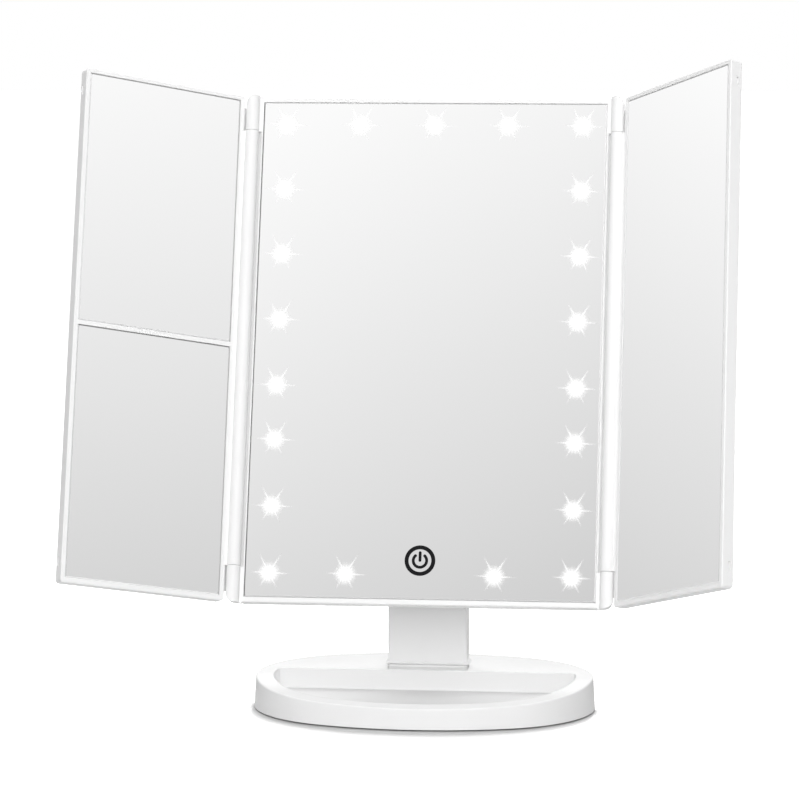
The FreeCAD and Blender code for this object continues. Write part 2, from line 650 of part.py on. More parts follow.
def knuckle():
    """Top right hinge knuckle of the centre frame: barrel, web to the frame, rounded end."""
    low = KNUCKLE_SEAM
    height = KNUCKLE_TOP - low
    barrel = Part.makeCylinder(BARREL_RADIUS, height, Vector(HINGE_X, -HINGE_PROUD, low))
    root = FRAME_HALF_WIDTH - BEZEL_SIDE / 2
    back = BARREL_RADIUS - HINGE_PROUD
    root_back = back + KNUCKLE_WEB_SPREAD
    web = prism([(root, 0, low), (HINGE_X, 0, low), (HINGE_X, back, low), (FRAME_HALF_WIDTH, root_back, low),
                 (root, root_back, low)], (0, 0, height))
    block = barrel.fuse(web)
    outline = rounded_plate(root, HINGE_X + BARREL_RADIUS, low, KNUCKLE_TOP, -BEYOND, BEYOND,
                            (0, 0, KNUCKLE_CORNER_RADIUS, 0))
    frame_top = box(0, FRAME_HALF_WIDTH, -BEYOND, BEYOND, FRAME_HIGH, KNUCKLE_TOP + BEYOND)
    return block.common(outline).cut(frame_top)


def knuckles():
    """All four hinge knuckles, each bored for its pin."""
    top_right = knuckle()
    pin_low = KNUCKLE_SEAM - HINGE_PIN_LENGTH / 2
    bore = Part.makeCylinder(HINGE_PIN_DIAMETER / 2 + HINGE_PIN_SEAT, HINGE_PIN_LENGTH,
                             Vector(HINGE_X, -HINGE_PROUD, pin_low))
    top_right = top_right.cut(bore)
    bottom_right = top_right.mirror(Vector(0, 0, FRAME_MIDDLE), Vector(0, 0, 1))
    right = [top_right, bottom_right]
    return right + [k.mirror(Vector(0, 0, 0), Vector(1, 0, 0)) for k in right]


def centre_frame():
    """Front frame: thin bezel, plate behind the glass with a window at each lamp, knuckles."""
    frame = box(-FRAME_HALF_WIDTH, FRAME_HALF_WIDTH, 0, FRAME_DEPTH, FRAME_LOW, FRAME_HIGH)
    front = edges_where(frame, lambda p: abs(p.y) < NEAR)
    frame = frame.makeChamfer(FRAME_FRONT_BREAK, front)
    pocket_x = GLASS_WIDTH / 2 + GLASS_CLEARANCE
    frame = frame.cut(box(-pocket_x, pocket_x, 0, PLATE_FRONT, -GLASS_CLEARANCE,
                          GLASS_HEIGHT + GLASS_CLEARANCE))
    inner_x = FRAME_HALF_WIDTH - FRAME_WALL
    frame = frame.cut(box(-inner_x, inner_x, PLATE_BACK, FRAME_DEPTH, FRAME_LOW + FRAME_WALL,
                          FRAME_HIGH - FRAME_WALL))
    frame = frame.fuse(cover_screw_bosses(PLATE_BACK, FRAME_DEPTH)).fuse(board_posts())
    for x, z in lamp_places():
        half = LAMP_WINDOW / 2
        frame = frame.cut(box(x - half, x + half, 0, FRAME_DEPTH, z - half, z + half))
    touch = TOUCH_PAD_DIAMETER / 2 + TOUCH_PAD_CLEARANCE
    frame = frame.cut(cylinder(touch, (0, 0, TOUCH_UP_GLASS), (0, FRAME_DEPTH, TOUCH_UP_GLASS)))
    bore_end = cover_screw_tip() - SCREW_TIP_ROOM
    for x, z in cover_screw_places():
        frame = frame.cut(screw_bore(SCREW_FIT, (x, bore_end, z), (x, HEAD_DEPTH, z)))
    return frame.fuse(knuckles()).removeSplitter()


def centre_mirror():
    """Centre glass."""
    return box(-GLASS_WIDTH / 2, GLASS_WIDTH / 2, GLASS_CLEARANCE, PLATE_FRONT, 0, GLASS_HEIGHT)


def hinge_pins():
    """Four steel pins, pressed into the knuckles and running in the wings' barrels."""
    pins = []
    seam_middle = KNUCKLE_SEAM - KNUCKLE_END_GAP / 2
    for side in (-1, 1):
        for middle in (seam_middle, 2 * FRAME_MIDDLE - seam_middle):
            low = Vector(side * HINGE_X, -HINGE_PROUD, middle - HINGE_PIN_LENGTH / 2)
            pins.append(Part.makeCylinder(HINGE_PIN_DIAMETER / 2, HINGE_PIN_LENGTH, low))
    return Part.makeCompound(pins)


# ---------------------------------------------------------------- lamps, switch and boards
def lamp_board():
    """Ring-shaped circuit board behind the lamps."""
    side_x = GLASS_WIDTH / 2 - LAMP_EDGE_SIDE
    low = LAMP_EDGE_BOTTOM
    high = GLASS_HEIGHT - LAMP_EDGE_TOP
    half = LAMP_BOARD_WIDTH / 2
    back = PLATE_BACK + LAMP_BOARD_THICK
    board = box(-side_x - half, side_x + half, PLATE_BACK, back, low - half, high + half)
    window = box(-side_x + half, side_x - half, 0, BEYOND, low + half, high - half)
    return board.cut(window)


def lamps():
    """One surface-mounted LED under each lamp window."""
    half = LED_SIZE / 2
    front = PLATE_BACK - LED_HEIGHT
    return Part.makeCompound([box(x - half, x + half, front, PLATE_BACK, z - half, z + half)
                              for x, z in lamp_places()])


def touch_pad():
    """Sensor pad pressed against the back of the glass behind the switch symbol."""
    return cylinder(TOUCH_PAD_DIAMETER / 2, (0, PLATE_FRONT, TOUCH_UP_GLASS),
                    (0, PLATE_FRONT + TOUCH_PAD_THICK, TOUCH_UP_GLASS))


def board_back():
    """Depth of the control board's rear face, where the charging socket sits."""
    return USB_DEPTH - USB_HEIGHT / 2


def control_board():
    """Small board beside the stem channel that carries the charging socket."""
    back = board_back()
    half = BOARD_WIDTH / 2
    low = FRAME_LOW + COVER_WALL + USB_PORT_CLEARANCE
    return box(USB_X - half, USB_X + half, back - BOARD_THICK, back, low, low + BOARD_LENGTH)


def board_posts():
    """Two posts on the front frame that the control board rests on."""
    height = FRAME_LOW + BOARD_LENGTH
    places = [(USB_X + side * BOARD_POST_SPREAD, height) for side in (-1, 1)]
    front = board_back() - BOARD_THICK
    posts = [eight_sided(BOARD_POST_RADIUS, BOARD_POST_RADIUS, (x, PLATE_BACK, z), (x, front, z))
             for x, z in places]
    return Part.makeCompound(posts)


def charging_socket():
    """Micro-USB socket: folded steel shell with its mouth at the head's lower edge."""
    low = FRAME_LOW + COVER_WALL + USB_PORT_CLEARANCE
    front = board_back()
    half = USB_WIDTH / 2
    shell = box(USB_X - half, USB_X + half, front, front + USB_HEIGHT, low, low + USB_LENGTH)
    inner = half - USB_WALL
    mouth = box(USB_X - inner, USB_X + inner, front + USB_WALL, front + USB_HEIGHT - USB_WALL,
                low, low + USB_LENGTH - USB_WALL)
    half = USB_TONGUE_WIDTH / 2
    front += (USB_HEIGHT - USB_TONGUE_THICK) / 2
    tongue = box(USB_X - half, USB_X + half, front, front + USB_TONGUE_THICK, low + USB_TONGUE_SETBACK,
                 low + USB_LENGTH - USB_WALL)
    return shell.cut(mouth).fuse(tongue).removeSplitter()


# ---------------------------------------------------------------- back cover
def cover_block(inset):
    """Back housing's form: rounded sides seen from above, rounded ends seen from the side."""
    x = FRAME_HALF_WIDTH - inset
    low = FRAME_LOW + inset
    high = FRAME_HIGH - inset
    back = HEAD_DEPTH - inset
    radius = COVER_EDGE_ROUND - inset
    block = box(-x, x, FRAME_DEPTH - inset, back, low, high)
    rear = edges_where(block, lambda p: abs(p.y - back) < NEAR)
    uprights = upright_edges(block)
    sides = block.makeFillet(radius, [e for e in rear if any(e.isSame(u) for u in uprights)])
    ends = block.makeFillet(radius, [e for e in rear if not any(e.isSame(u) for u in uprights)])
    return sides.common(ends)


def cover_screw_places():
    """Middles of the four screws that hold the back cover."""
    return [(x, z) for x in (-COVER_SCREW_X, COVER_SCREW_X) for z in (COVER_SCREW_LOW, COVER_SCREW_HIGH)]


def cover_screw_bosses(front, back):
    """Eight-sided posts between two depths, one at each cover screw."""
    posts = [eight_sided(SCREW_BOSS_RADIUS, SCREW_BOSS_RADIUS, (x, front, z), (x, back, z))
             for x, z in cover_screw_places()]
    return Part.makeCompound(posts)


def cover_screw_tip():
    """Depth of the cover screws' tips in the front frame's plate."""
    return PLATE_FRONT + SCREW_TIP_WALL


def cover_screw_seat():
    """Depth of the seats under the cover screws' heads, at the bottom of their wells."""
    return cover_screw_tip() + SCREW_LENGTH


def back_cover():
    """Back housing: channel for the stem, tilt hinge bosses, battery bay and charging port."""
    cover = cover_block(0)
    inside = cover_block(COVER_WALL)

    channel_x = CHANNEL_WIDTH / 2
    wall_x = channel_x + CHANNEL_SIDE_WALL
    channel_block = box(-wall_x, wall_x, 0, HEAD_DEPTH, FRAME_LOW, CHANNEL_TOP + CHANNEL_SIDE_WALL)
    inside = inside.cut(channel_block)
    pivot = (PIVOT_DEPTH, PIVOT_UP_GLASS)
    boss = AXLE_BOSS_DIAMETER / 2
    inside = inside.cut(cylinder(boss, (-AXLE_BOSS_END,) + pivot, (AXLE_BOSS_END,) + pivot))
    inside = inside.cut(bay_block())
    inside = inside.cut(cover_screw_bosses(FRAME_DEPTH, HEAD_DEPTH))
    cover = cover.cut(inside)

    cover = cover.fuse(bay_block())
    cover = cover.cut(box(-channel_x, channel_x, CHANNEL_FLOOR, BEYOND, -BEYOND, CHANNEL_TOP))
    cover = cover.cut(cylinder(AXLE_DIAMETER / 2 + AXLE_SEAT, (-AXLE_BOSS_END,) + pivot,
                               (AXLE_BOSS_END,) + pivot))
    cover = cover.cut(box(-BAY_WIDTH / 2, BAY_WIDTH / 2, BAY_FLOOR, BEYOND, BAY_BOTTOM, BAY_TOP))
    edge = BAY_WALL
    cover = cover.cut(box(-BAY_WIDTH / 2 - edge, BAY_WIDTH / 2 + edge, DOOR_FRONT, BEYOND,
                          BAY_BOTTOM - edge, BAY_TOP + edge))
    half = TONGUE_TAB_WIDTH / 2 + 2 * DOOR_CLEARANCE
    for x in (-TONGUE_TAB_X, TONGUE_TAB_X):
        cover = cover.cut(box(x - half, x + half, DOOR_FRONT - TAB_SLOT_DEPTH, DOOR_FRONT,
                              BAY_BOTTOM - BAY_WALL - TAB_SLOT_RUN, BAY_BOTTOM + TAB_SLOT_RUN))
    cover = cover.cut(finger_notch())
    seat = cover_screw_seat()
    well = SCREW_HEAD_RADIUS + 2 * SCREW_PASS
    for x, z in cover_screw_places():
        cover = cover.cut(screw_bore(SCREW_PASS, (x, 0, z), (x, HEAD_DEPTH, z)))
        cover = cover.cut(cylinder(well, (x, seat, z), (x, BEYOND, z)))
    return cover.cut(charging_port()).removeSplitter()


def bay_block():
    """Walls and floor of the battery bay as one block."""
    half = BAY_WIDTH / 2 + BAY_WALL
    floor = BAY_FLOOR - CHANNEL_FLOOR_WALL
    return box(-half, half, floor, HEAD_DEPTH, BAY_BOTTOM - BAY_WALL, BAY_TOP + BAY_WALL)


def finger_notch():
    """Shallow scoop above the battery door for a fingertip."""
    height = BAY_TOP + BAY_WALL
    scoop = cylinder(FINGER_NOTCH_RADIUS, (0, HEAD_DEPTH - FINGER_NOTCH_DEPTH, height), (0, BEYOND, height))
    return scoop.cut(box(-BEYOND, BEYOND, 0, BEYOND, 0, height))


def charging_port():
    """Slot in the head's lower edge in line with the charging socket."""
    half_x = USB_WIDTH / 2 + USB_PORT_CLEARANCE
    half_y = USB_HEIGHT / 2 + USB_PORT_CLEARANCE
    return box(USB_X - half_x, USB_X + half_x, USB_DEPTH - half_y, USB_DEPTH + half_y, -BEYOND,
               FRAME_LOW + COVER_WALL + USB_LENGTH)


def back_cover_screws():
    """Four screws from the back cover into the front frame."""
    start = cover_screw_seat() + SCREW_HEAD_THICK
    places = [(x, start, z) for x, z in cover_screw_places()]
    return Part.makeCompound([screw(place, (0, -1, 0), SCREW_LENGTH) for place in places])


# ---------------------------------------------------------------- batteries
def battery_cover():
    """Battery door: flush plate with two tongues that catch under its lower edge."""
    door = box(-DOOR_HALF_WIDTH, DOOR_HALF_WIDTH, DOOR_FRONT, HEAD_DEPTH, DOOR_LOW, DOOR_HIGH)
    tab_back = COVER_SKIN - DOOR_CLEARANCE
    tab_front = tab_back - TONGUE_TAB_THICK
    tab_low = BAY_BOTTOM - BAY_WALL - TONGUE_TAB_REACH
    tab_high = BAY_BOTTOM - DOOR_CLEARANCE
    for side in (-1, 1):
        x0 = side * TONGUE_TAB_X - TONGUE_TAB_WIDTH / 2
        x1 = x0 + TONGUE_TAB_WIDTH
        door = door.fuse(box(x0, x1, tab_front, tab_back, tab_low, tab_high))
        door = door.fuse(box(x0, x1, tab_front, DOOR_FRONT, DOOR_LOW + DOOR_CLEARANCE, tab_high))
    return door.removeSplitter()


def cell_places():
    """Across position and direction of each cell: every other one is turned over."""
    first = -CELL_PITCH * (CELL_COUNT - 1) / 2
    return [(first + CELL_PITCH * k, 1 if k % 2 == 0 else -1) for k in range(CELL_COUNT)]


def cell_depth():
    """Depth of the cells' axes."""
    return BAY_FLOOR + CELL_GAP + CELL_DIAMETER / 2


def battery_cells():
    """Four AAA cells side by side."""
    cells = []
    for x, way in cell_places():
        end = BAY_BOTTOM if way > 0 else BAY_TOP
        base = Vector(x, cell_depth(), end + way * (CONTACT_THICK + SPRING_LENGTH))
        can = Part.makeCylinder(CELL_DIAMETER / 2, CELL_LENGTH, base, Vector(0, 0, way))
        nub_end = base + Vector(0, 0, way * (CELL_LENGTH + CELL_NUB_LENGTH))
        nub = eight_sided(CELL_NUB_DIAMETER / 2, CELL_NUB_DIAMETER / 2, base, nub_end)
        cells.append(can.fuse(nub).removeSplitter())
    return Part.makeCompound(cells)


def battery_contacts():
    """Plate contact at both ends of each cell."""
    plates = []
    half = CONTACT_WIDTH / 2
    front = cell_depth() - CONTACT_DEPTH / 2
    for x, _ in cell_places():
        for low in (BAY_BOTTOM, BAY_TOP - CONTACT_THICK):
            plates.append(box(x - half, x + half, front, front + CONTACT_DEPTH, low, low + CONTACT_THICK))
    return Part.makeCompound(plates)


def battery_springs():
    """Tapered spring at the flat end of each cell, as its envelope."""
    springs = []
    for x, way in cell_places():
        end = BAY_BOTTOM if way > 0 else BAY_TOP
        place = Vector(x, cell_depth(), end + way * CONTACT_THICK)
        springs.append(eight_sided(SPRING_RADIUS_LARGE, SPRING_RADIUS_SMALL, place,
                                   place + Vector(0, 0, way * SPRING_LENGTH)))
    return Part.makeCompound(springs)


# ---------------------------------------------------------------- wings
def wing_panes(divided):
    """Low and high edge of each pane in a wing."""
    if not divided:
        return [(0, GLASS_HEIGHT)]
    middle = GLASS_HEIGHT / 2
    return [(0, middle - WING_DIVIDER / 2), (middle + WING_DIVIDER / 2, GLASS_HEIGHT)]


def snap_heights():
    """Low edge of each snap window in a wing's outer side."""
    return [FRAME_LOW + SNAP_FROM_END, FRAME_HIGH - SNAP_FROM_END - SNAP_LENGTH]


def wing_frame(divided):
    """Wing frame: bezel, plate behind the glass, hinge barrel down the inner side."""
    inner, outer = WING_INNER, WING_OUTER
    corner = WING_CORNER_RADIUS
    frame = rounded_plate(inner, outer, FRAME_LOW, FRAME_HIGH, WING_FRONT, WING_FRAME_BACK,
                          (corner,) * 4)
    front = edges_where(frame, lambda p: abs(p.y - WING_FRONT) < NEAR)
    frame = frame.makeChamfer(FRAME_FRONT_BREAK, front)
    gap = GLASS_CLEARANCE
    left, right = WING_GLASS_INNER - gap, WING_GLASS_OUTER + gap
    for low, high in wing_panes(divided):
        frame = frame.cut(box(left, right, 0, WING_PLATE_FRONT, low - gap, high + gap))
    wall = WING_WALL
    frame = frame.cut(box(inner + wall, outer - wall, WING_PLATE_BACK, BEYOND, FRAME_LOW + wall,
                          FRAME_HIGH - wall))
    for low in snap_heights():
        frame = frame.cut(box(outer - 2 * wall, outer, SNAP_FRONT, SNAP_FRONT + SNAP_DEPTH, low,
                              low + SNAP_LENGTH))

    length = BARREL_HIGH - BARREL_LOW
    barrel = Part.makeCylinder(BARREL_RADIUS, length, Vector(0, 0, BARREL_LOW))
    root = inner + WING_WALL / 2
    back = WING_FRAME_BACK - WING_WEB_SETBACK
    web = prism([(0, 0, BARREL_LOW), (root, WING_FRONT, BARREL_LOW), (root, back, BARREL_LOW),
                 (inner, back, BARREL_LOW), (0, BARREL_RADIUS, BARREL_LOW)], (0, 0, length))
    frame = frame.fuse([barrel, web])
    depth = HINGE_PIN_LENGTH / 2 + HINGE_PIN_END_GAP
    bore = HINGE_PIN_DIAMETER / 2 + HINGE_PIN_FIT
    for low in (BARREL_LOW, BARREL_HIGH - depth):
        frame = frame.cut(Part.makeCylinder(bore, depth, Vector(0, 0, low)))
    return frame.removeSplitter()


def wing_back_cover():
    """Wing back: plate with a softened edge, a locating lip and a catch at each snap window."""
    corner = WING_CORNER_RADIUS
    plate = rounded_plate(WING_INNER, WING_OUTER, FRAME_LOW, FRAME_HIGH, WING_FRAME_BACK, WING_BACK,
                          (corner,) * 4)
    rear = edges_where(plate, lambda p: abs(p.y - WING_BACK) < NEAR)
    plate = plate.makeChamfer(WING_COVER_BREAK, rear)
    step = WING_WALL + WING_LIP_CLEARANCE
    thick = WING_LIP_THICK
    front = WING_FRAME_BACK - WING_LIP_DEPTH
    lip = box(WING_INNER + step, WING_OUTER - step, front, WING_FRAME_BACK, FRAME_LOW + step,
              FRAME_HIGH - step)
    lip = lip.cut(box(WING_INNER + step + thick, WING_OUTER - step - thick, 0, BEYOND,
                      FRAME_LOW + step + thick, FRAME_HIGH - step - thick))
    cover = plate.fuse(lip)
    gap = SNAP_CLEARANCE
    for low in snap_heights():
        cover = cover.fuse(box(WING_OUTER - step - thick, WING_OUTER - WING_WALL / 2, SNAP_FRONT + gap,
                               SNAP_FRONT + SNAP_DEPTH - gap, low + gap, low + SNAP_LENGTH - gap))
    return cover.removeSplitter()


def wing_glass(low, high):
    """One pane of wing glass."""
    return box(WING_GLASS_INNER, WING_GLASS_OUTER, WING_FRONT + GLASS_CLEARANCE, WING_PLATE_FRONT, low, high)


# ---------------------------------------------------------------- placing and writing
def on_head(shape):
    """Moves a piece from head axes to the tilted head."""
    placed = shape.copy()
    placed.Placement = HEAD.multiply(placed.Placement)
    return placed


def on_wing(shape, side):
    """Moves a piece from wing axes to the right (+1) or left (-1) wing, folded as set up."""
    fold = RIGHT_WING_FOLD if side > 0 else LEFT_WING_FOLD
    placed = shape if side > 0 else shape.mirror(Vector(0, 0, 0), Vector(1, 0, 0))
    turned = placed.copy()
    hinge = Placement(Vector(side * HINGE_X, -HINGE_PROUD, 0), Rotation(Vector(0, 0, 1), -side * fold))
    turned.Placement = hinge.multiply(turned.Placement)
    return on_head(turned)


def build():
    """Builds every node."""
    nodes = {
        "base_shell": base_shell(),
        "base_bottom_plate": base_bottom_plate(),
        "non_slip_pad": non_slip_pad(),
        "base_screws": base_screws(),
        "stem_shell": stem_shell(),
        "stem_rear_cover": stem_rear_cover(),
        "stem_screws": stem_screws(),
    }
    head = {
        "tilt_axle": tilt_axle(),
        "axle_nut": axle_nut(),
        "friction_washers": friction_washers(),
        "centre_frame": centre_frame(),
        "centre_mirror": centre_mirror(),
        "hinge_pins": hinge_pins(),
        "lamp_board": lamp_board(),
        "lamps": lamps(),
        "touch_pad": touch_pad(),
        "control_board": control_board(),
        "charging_socket": charging_socket(),
        "back_cover": back_cover(),
        "back_cover_screws": back_cover_screws(),
        "battery_cover": battery_cover(),
        "battery_cells": battery_cells(),
        "battery_contacts": battery_contacts(),
        "battery_springs": battery_springs(),
    }
    for node, shape in head.items():
        nodes[node] = on_head(shape)

    lower, upper = wing_panes(True)
    nodes["left_wing_frame"] = on_wing(wing_frame(True), -1)
    nodes["left_wing_back_cover"] = on_wing(wing_back_cover(), -1)
    nodes["left_upper_mirror"] = on_wing(wing_glass(*upper), -1)
    nodes["left_lower_mirror"] = on_wing(wing_glass(*lower), -1)
    nodes["right_wing_frame"] = on_wing(wing_frame(False), 1)
    nodes["right_wing_back_cover"] = on_wing(wing_back_cover(), 1)
    nodes["right_mirror"] = on_wing(wing_glass(*wing_panes(False)[0]), 1)
    return nodes


os.makedirs("parts", exist_ok=True)
for name, solid in build().items():
    export(name, solid)
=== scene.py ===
import json
import math
from functools import cache, partial

import bpy
import numpy as np
from bpy.props import FloatProperty, FloatVectorProperty, IntProperty, PointerProperty
from mathutils import Matrix, Vector


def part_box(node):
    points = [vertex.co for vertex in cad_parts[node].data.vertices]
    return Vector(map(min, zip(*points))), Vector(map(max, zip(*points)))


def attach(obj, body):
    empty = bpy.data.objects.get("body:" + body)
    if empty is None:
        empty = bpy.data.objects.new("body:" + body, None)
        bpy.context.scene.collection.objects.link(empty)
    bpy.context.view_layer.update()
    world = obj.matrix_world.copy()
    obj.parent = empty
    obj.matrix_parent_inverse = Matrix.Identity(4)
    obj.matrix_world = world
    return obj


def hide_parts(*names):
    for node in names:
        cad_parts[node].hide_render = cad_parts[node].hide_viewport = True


bl_info = {
    "name": "Trifold vanity mirror",
    "version": (1, 0, 0),
    "blender": (4, 5, 0),
    "location": "3D View > Sidebar > Vanity mirror",
    "description": "Finishes, glass, lamps and studio for a lit trifold vanity mirror",
    "category": "Add Mesh",
}

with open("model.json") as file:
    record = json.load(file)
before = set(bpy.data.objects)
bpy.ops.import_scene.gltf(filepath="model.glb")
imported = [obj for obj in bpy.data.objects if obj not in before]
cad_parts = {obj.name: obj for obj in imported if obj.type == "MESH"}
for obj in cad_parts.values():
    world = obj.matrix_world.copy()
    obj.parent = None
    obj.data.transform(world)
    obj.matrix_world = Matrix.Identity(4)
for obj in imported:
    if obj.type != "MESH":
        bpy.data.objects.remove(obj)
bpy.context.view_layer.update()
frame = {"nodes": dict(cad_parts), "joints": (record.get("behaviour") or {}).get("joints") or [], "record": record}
NODES = frame["nodes"]
JOINTS = {joint["name"]: joint for joint in frame["joints"]}
SLOT_OF = {part["node"]: part["material_slot"] for part in frame["record"]["subparts"]}
BASE_LOW, BASE_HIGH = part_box("base_shell")
# fixed values, lengths in metres
BUMP_DISTANCE = 0.0001                       # depth of a full bump
HALVINGS = 40                                # steps that find a point on a ray
LED_SPAN = 0.008                             # corners nearer to each other are one LED's
GLOW_GAP, GLOW_THICK = 0.00002, 0.00006      # lamp windows over the glass
PRINT_BACK, PRINT_FRONT = 0.00001, 0.00006   # symbol over the glass
POWER_GAP = math.radians(43)                 # half of the power arc's opening
POWER_BAR = (0.03, 1.19)                     # ends of the power bar, in radii of the arc
GUARD_SHARE = 1.3                            # reach of a wing's guard, in barrel radii
LAMP_DISTANCE, LAMP_AIM = 1.8, Vector((0, 0, 0.14))
# each pane's node and body, and how light its left, right, top and bottom edges are: the ground edge's own grey,
# darker on some sides with painted shade from the gaps beside them
PANES = {
    "centre_glass": ("centre_mirror", "head", (0.14, 0.85, 0.53, 0.60)),
    "left_upper_glass": ("left_upper_mirror", "left_wing", (0.72, 0.45, 0.30, 0.78)),
    "left_lower_glass": ("left_lower_mirror", "left_wing", (0.60, 0.45, 0.15, 1.00)),
    "right_glass": ("right_mirror", "right_wing", (0.85, 0.65, 0.45, 0.95)),
}


# ---------------- where things are
def body_axes(body):
    """4x4 matrix of a body's own axes at rest: x to the right, y backwards, z up the glass.

    Base axes are the frame's own. The head's axes start at its tilt hinge, with z along the wing
    hinges and y = z cross x. A wing's axes start at its fold hinge, with x and y turned about z by
    the angle from lying open to rest, which is the fold joint's lower limit."""
    if body == "base":
        return Matrix.Identity(4)
    up = Vector(JOINTS["left_wing_fold"]["axis"]).normalized()
    right = Vector((1, 0, 0))
    pivot = JOINTS["head_tilt"]["pos_m"]
    if body != "head":
        fold = JOINTS[body + "_fold"]
        turn = math.radians(fold["range_deg"][0])
        right = Matrix.Rotation(-turn if body == "left_wing" else turn, 3, up) @ right
        pivot = fold["pos_m"]
    axes = Matrix((right, up.cross(right), up)).transposed().to_4x4()
    axes.translation = pivot
    return axes


def placed(points, axes):
    """Points moved by a 4x4 matrix, over any array shape whose last axis is x, y, z."""
    turn = np.array(axes.to_3x3())
    return points @ turn.T + np.array(axes.translation)


def node_points(node, body):
    """A node's points in a body's own axes."""
    mesh = NODES[node].data
    flat = np.empty(len(mesh.vertices) * 3)
    mesh.vertices.foreach_get("co", flat)
    return placed(flat.reshape(-1, 3), body_axes(body).inverted())


def own_box(node, body):
    """Lowest and highest corner of a node in a body's own axes."""
    points = node_points(node, body)
    return points.min(0), points.max(0)


# ---------------- surfaces
def ring_faces(rings, count):
    """Four-sided faces between rings of points: face (i, j) joins points j and j+1 of the rings i
    and i+1."""
    ring = np.arange(count)
    after = (ring + 1) % count
    start = np.arange(rings - 1)[:, None] * count
    faces = [start + ring, start + after, start + count + after, start + count + ring]
    return np.stack(faces, axis=-1).reshape(-1, 4)


def grid_mesh(name, shells, capped=True, sharp=math.radians(30), values=None):
    """Mesh of k closed tubes, each m rings of n points: shells is (k, m, n, 3).

    With capped, the first and the last ring are each closed by one flat face. All faces are turned
    outwards by the sign of the enclosed volume, sum(a . (b x c)) / 6 over the faces."""
    k, m, n = shells.shape[:3]
    shell_start = np.arange(k)[:, None] * m * n
    quads = (shell_start[..., None] + ring_faces(m, n)).reshape(-1, 4)
    caps = np.empty((0, n), int)
    if capped:
        ring = np.arange(n)
        caps = np.concatenate([shell_start + ring[::-1], shell_start + (m - 1) * n + ring])
    points = shells.reshape(-1, 3)
    a, b, c, d = (points[quads[:, i]] - points.mean(0) for i in range(4))
    if (a * (np.cross(b, c) + np.cross(c, d))).sum() < 0:
        quads, caps = quads[:, ::-1], caps[:, ::-1]
    mesh = bpy.data.meshes.new(name)
    mesh.from_pydata(points.tolist(), [], quads.tolist() + caps.tolist())
    mesh.validate()
    for key, value in (values or {}).items():
        layer = mesh.attributes.new(key, "FLOAT", "POINT")
        layer.data.foreach_set("value", value.astype(np.float32).ravel())
    mesh.shade_smooth()
    mesh.set_sharp_from_angle(angle=sharp)
    return mesh


def add_piece(name, shells, finish, body, slot, *nodes, **settings):
    """Makes a piece of shells in its body's own axes and puts it on that body, in place of the
    nodes that it stands for."""
    mesh = grid_mesh(name, placed(shells, body_axes(body)), **settings)
    piece = bpy.data.objects.new(name, mesh)
    bpy.context.scene.collection.objects.link(piece)
    mesh.materials.append(material_of(finish))
    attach(piece, body)
    piece.visible_glossy = False
    if nodes:
        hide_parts(*nodes)
    return piece


def lifted(outline, heights):
    """A flat outline at each of some heights: its rings, (m, n, 3)."""
    return np.array([np.insert(outline, 2, height, axis=1) for height in heights])


def rounded_rectangle(x0, x1, z0, z1, radius, steps):
    """Points round a rectangle whose corners are quarter circles, (4 * steps, 2), anticlockwise:
    corner centre + radius * (cos a, sin a), with a running through a quarter turn per corner."""
    sign_x = np.array([1, -1, -1, 1])[:, None]
    sign_z = np.array([1, 1, -1, -1])[:, None]
    angle = (np.arange(4)[:, None] + np.linspace(0, 1, steps)) * math.pi / 2
    x = (x0 + x1) / 2 + sign_x * ((x1 - x0) / 2 - radius) + radius * np.cos(angle)
    z = (z0 + z1) / 2 + sign_z * ((z1 - z0) / 2 - radius) + radius * np.sin(angle)
    return np.stack([x, z], axis=-1).reshape(-1, 2)


def pane_rings(low, high, arris, corner):
    """Rings of a glass pane between two corners: a straight edge with a ground arris front and
    back. Ring i is the rounded outline moved in by inset i, at depth i."""
    (x0, y0, z0), (x1, y1, z1) = low, high
    insets = [arris, 0, 0, arris]
    depths = [y1, y1 - arris, y0 + arris, y0]
    rings = []
    for inset, depth in zip(insets, depths):
        outline = rounded_rectangle(x0 + inset, x1 - inset, z0 + inset, z1 - inset, corner, 4)
        rings.append(np.insert(outline, 1, depth, axis=1))
    return np.array(rings)


def side_values(rings, values):
    """For each ring point the value of the nearest side: left, right, top or bottom of the pane."""
    x, z = rings[..., 0], rings[..., 2]
    away = np.stack([x - x.min(), x.max() - x, z.max() - z, z - z.min()])
    return np.array(values)[away.argmin(0)]


def band_along(path, tangent_angle, half_width, y_front, y_back, round_ends=False):
    """Flat band along a path in the glass plane, (m, 4, 3): at each path point the four corners
    path +- half_width * (-sin a, cos a), at the front and the back depth. With round_ends the path
    runs on past each end by w sin b while the half width falls to w cos b."""
    half_width = np.full(len(path), half_width)
    if round_ends:
        turn = np.linspace(0, math.radians(84), 8)[1:]     # just short of a point
        ahead = np.stack([np.cos(tangent_angle), np.sin(tangent_angle)], axis=-1)
        run = (half_width[0] * np.sin(turn))[:, None]
        path = np.concatenate([(path[0] - ahead[0] * run)[::-1], path, path[-1] + ahead[-1] * run])
        tangent_angle = np.pad(tangent_angle, len(turn), mode="edge")
        narrow = half_width[0] * np.cos(turn)
        half_width = np.concatenate([narrow[::-1], half_width, narrow])
    side = np.stack([-np.sin(tangent_angle), np.cos(tangent_angle)], axis=-1) * half_width[:, None]
    left, right = path + side, path - side
    front, back = np.full(len(path), y_front), np.full(len(path), y_back)
    corners = [np.stack([edge[:, 0], depth, edge[:, 1]], axis=-1)
               for edge, depth in ((left, front), (right, front), (right, back), (left, back))]
    return np.stack(corners, axis=1)


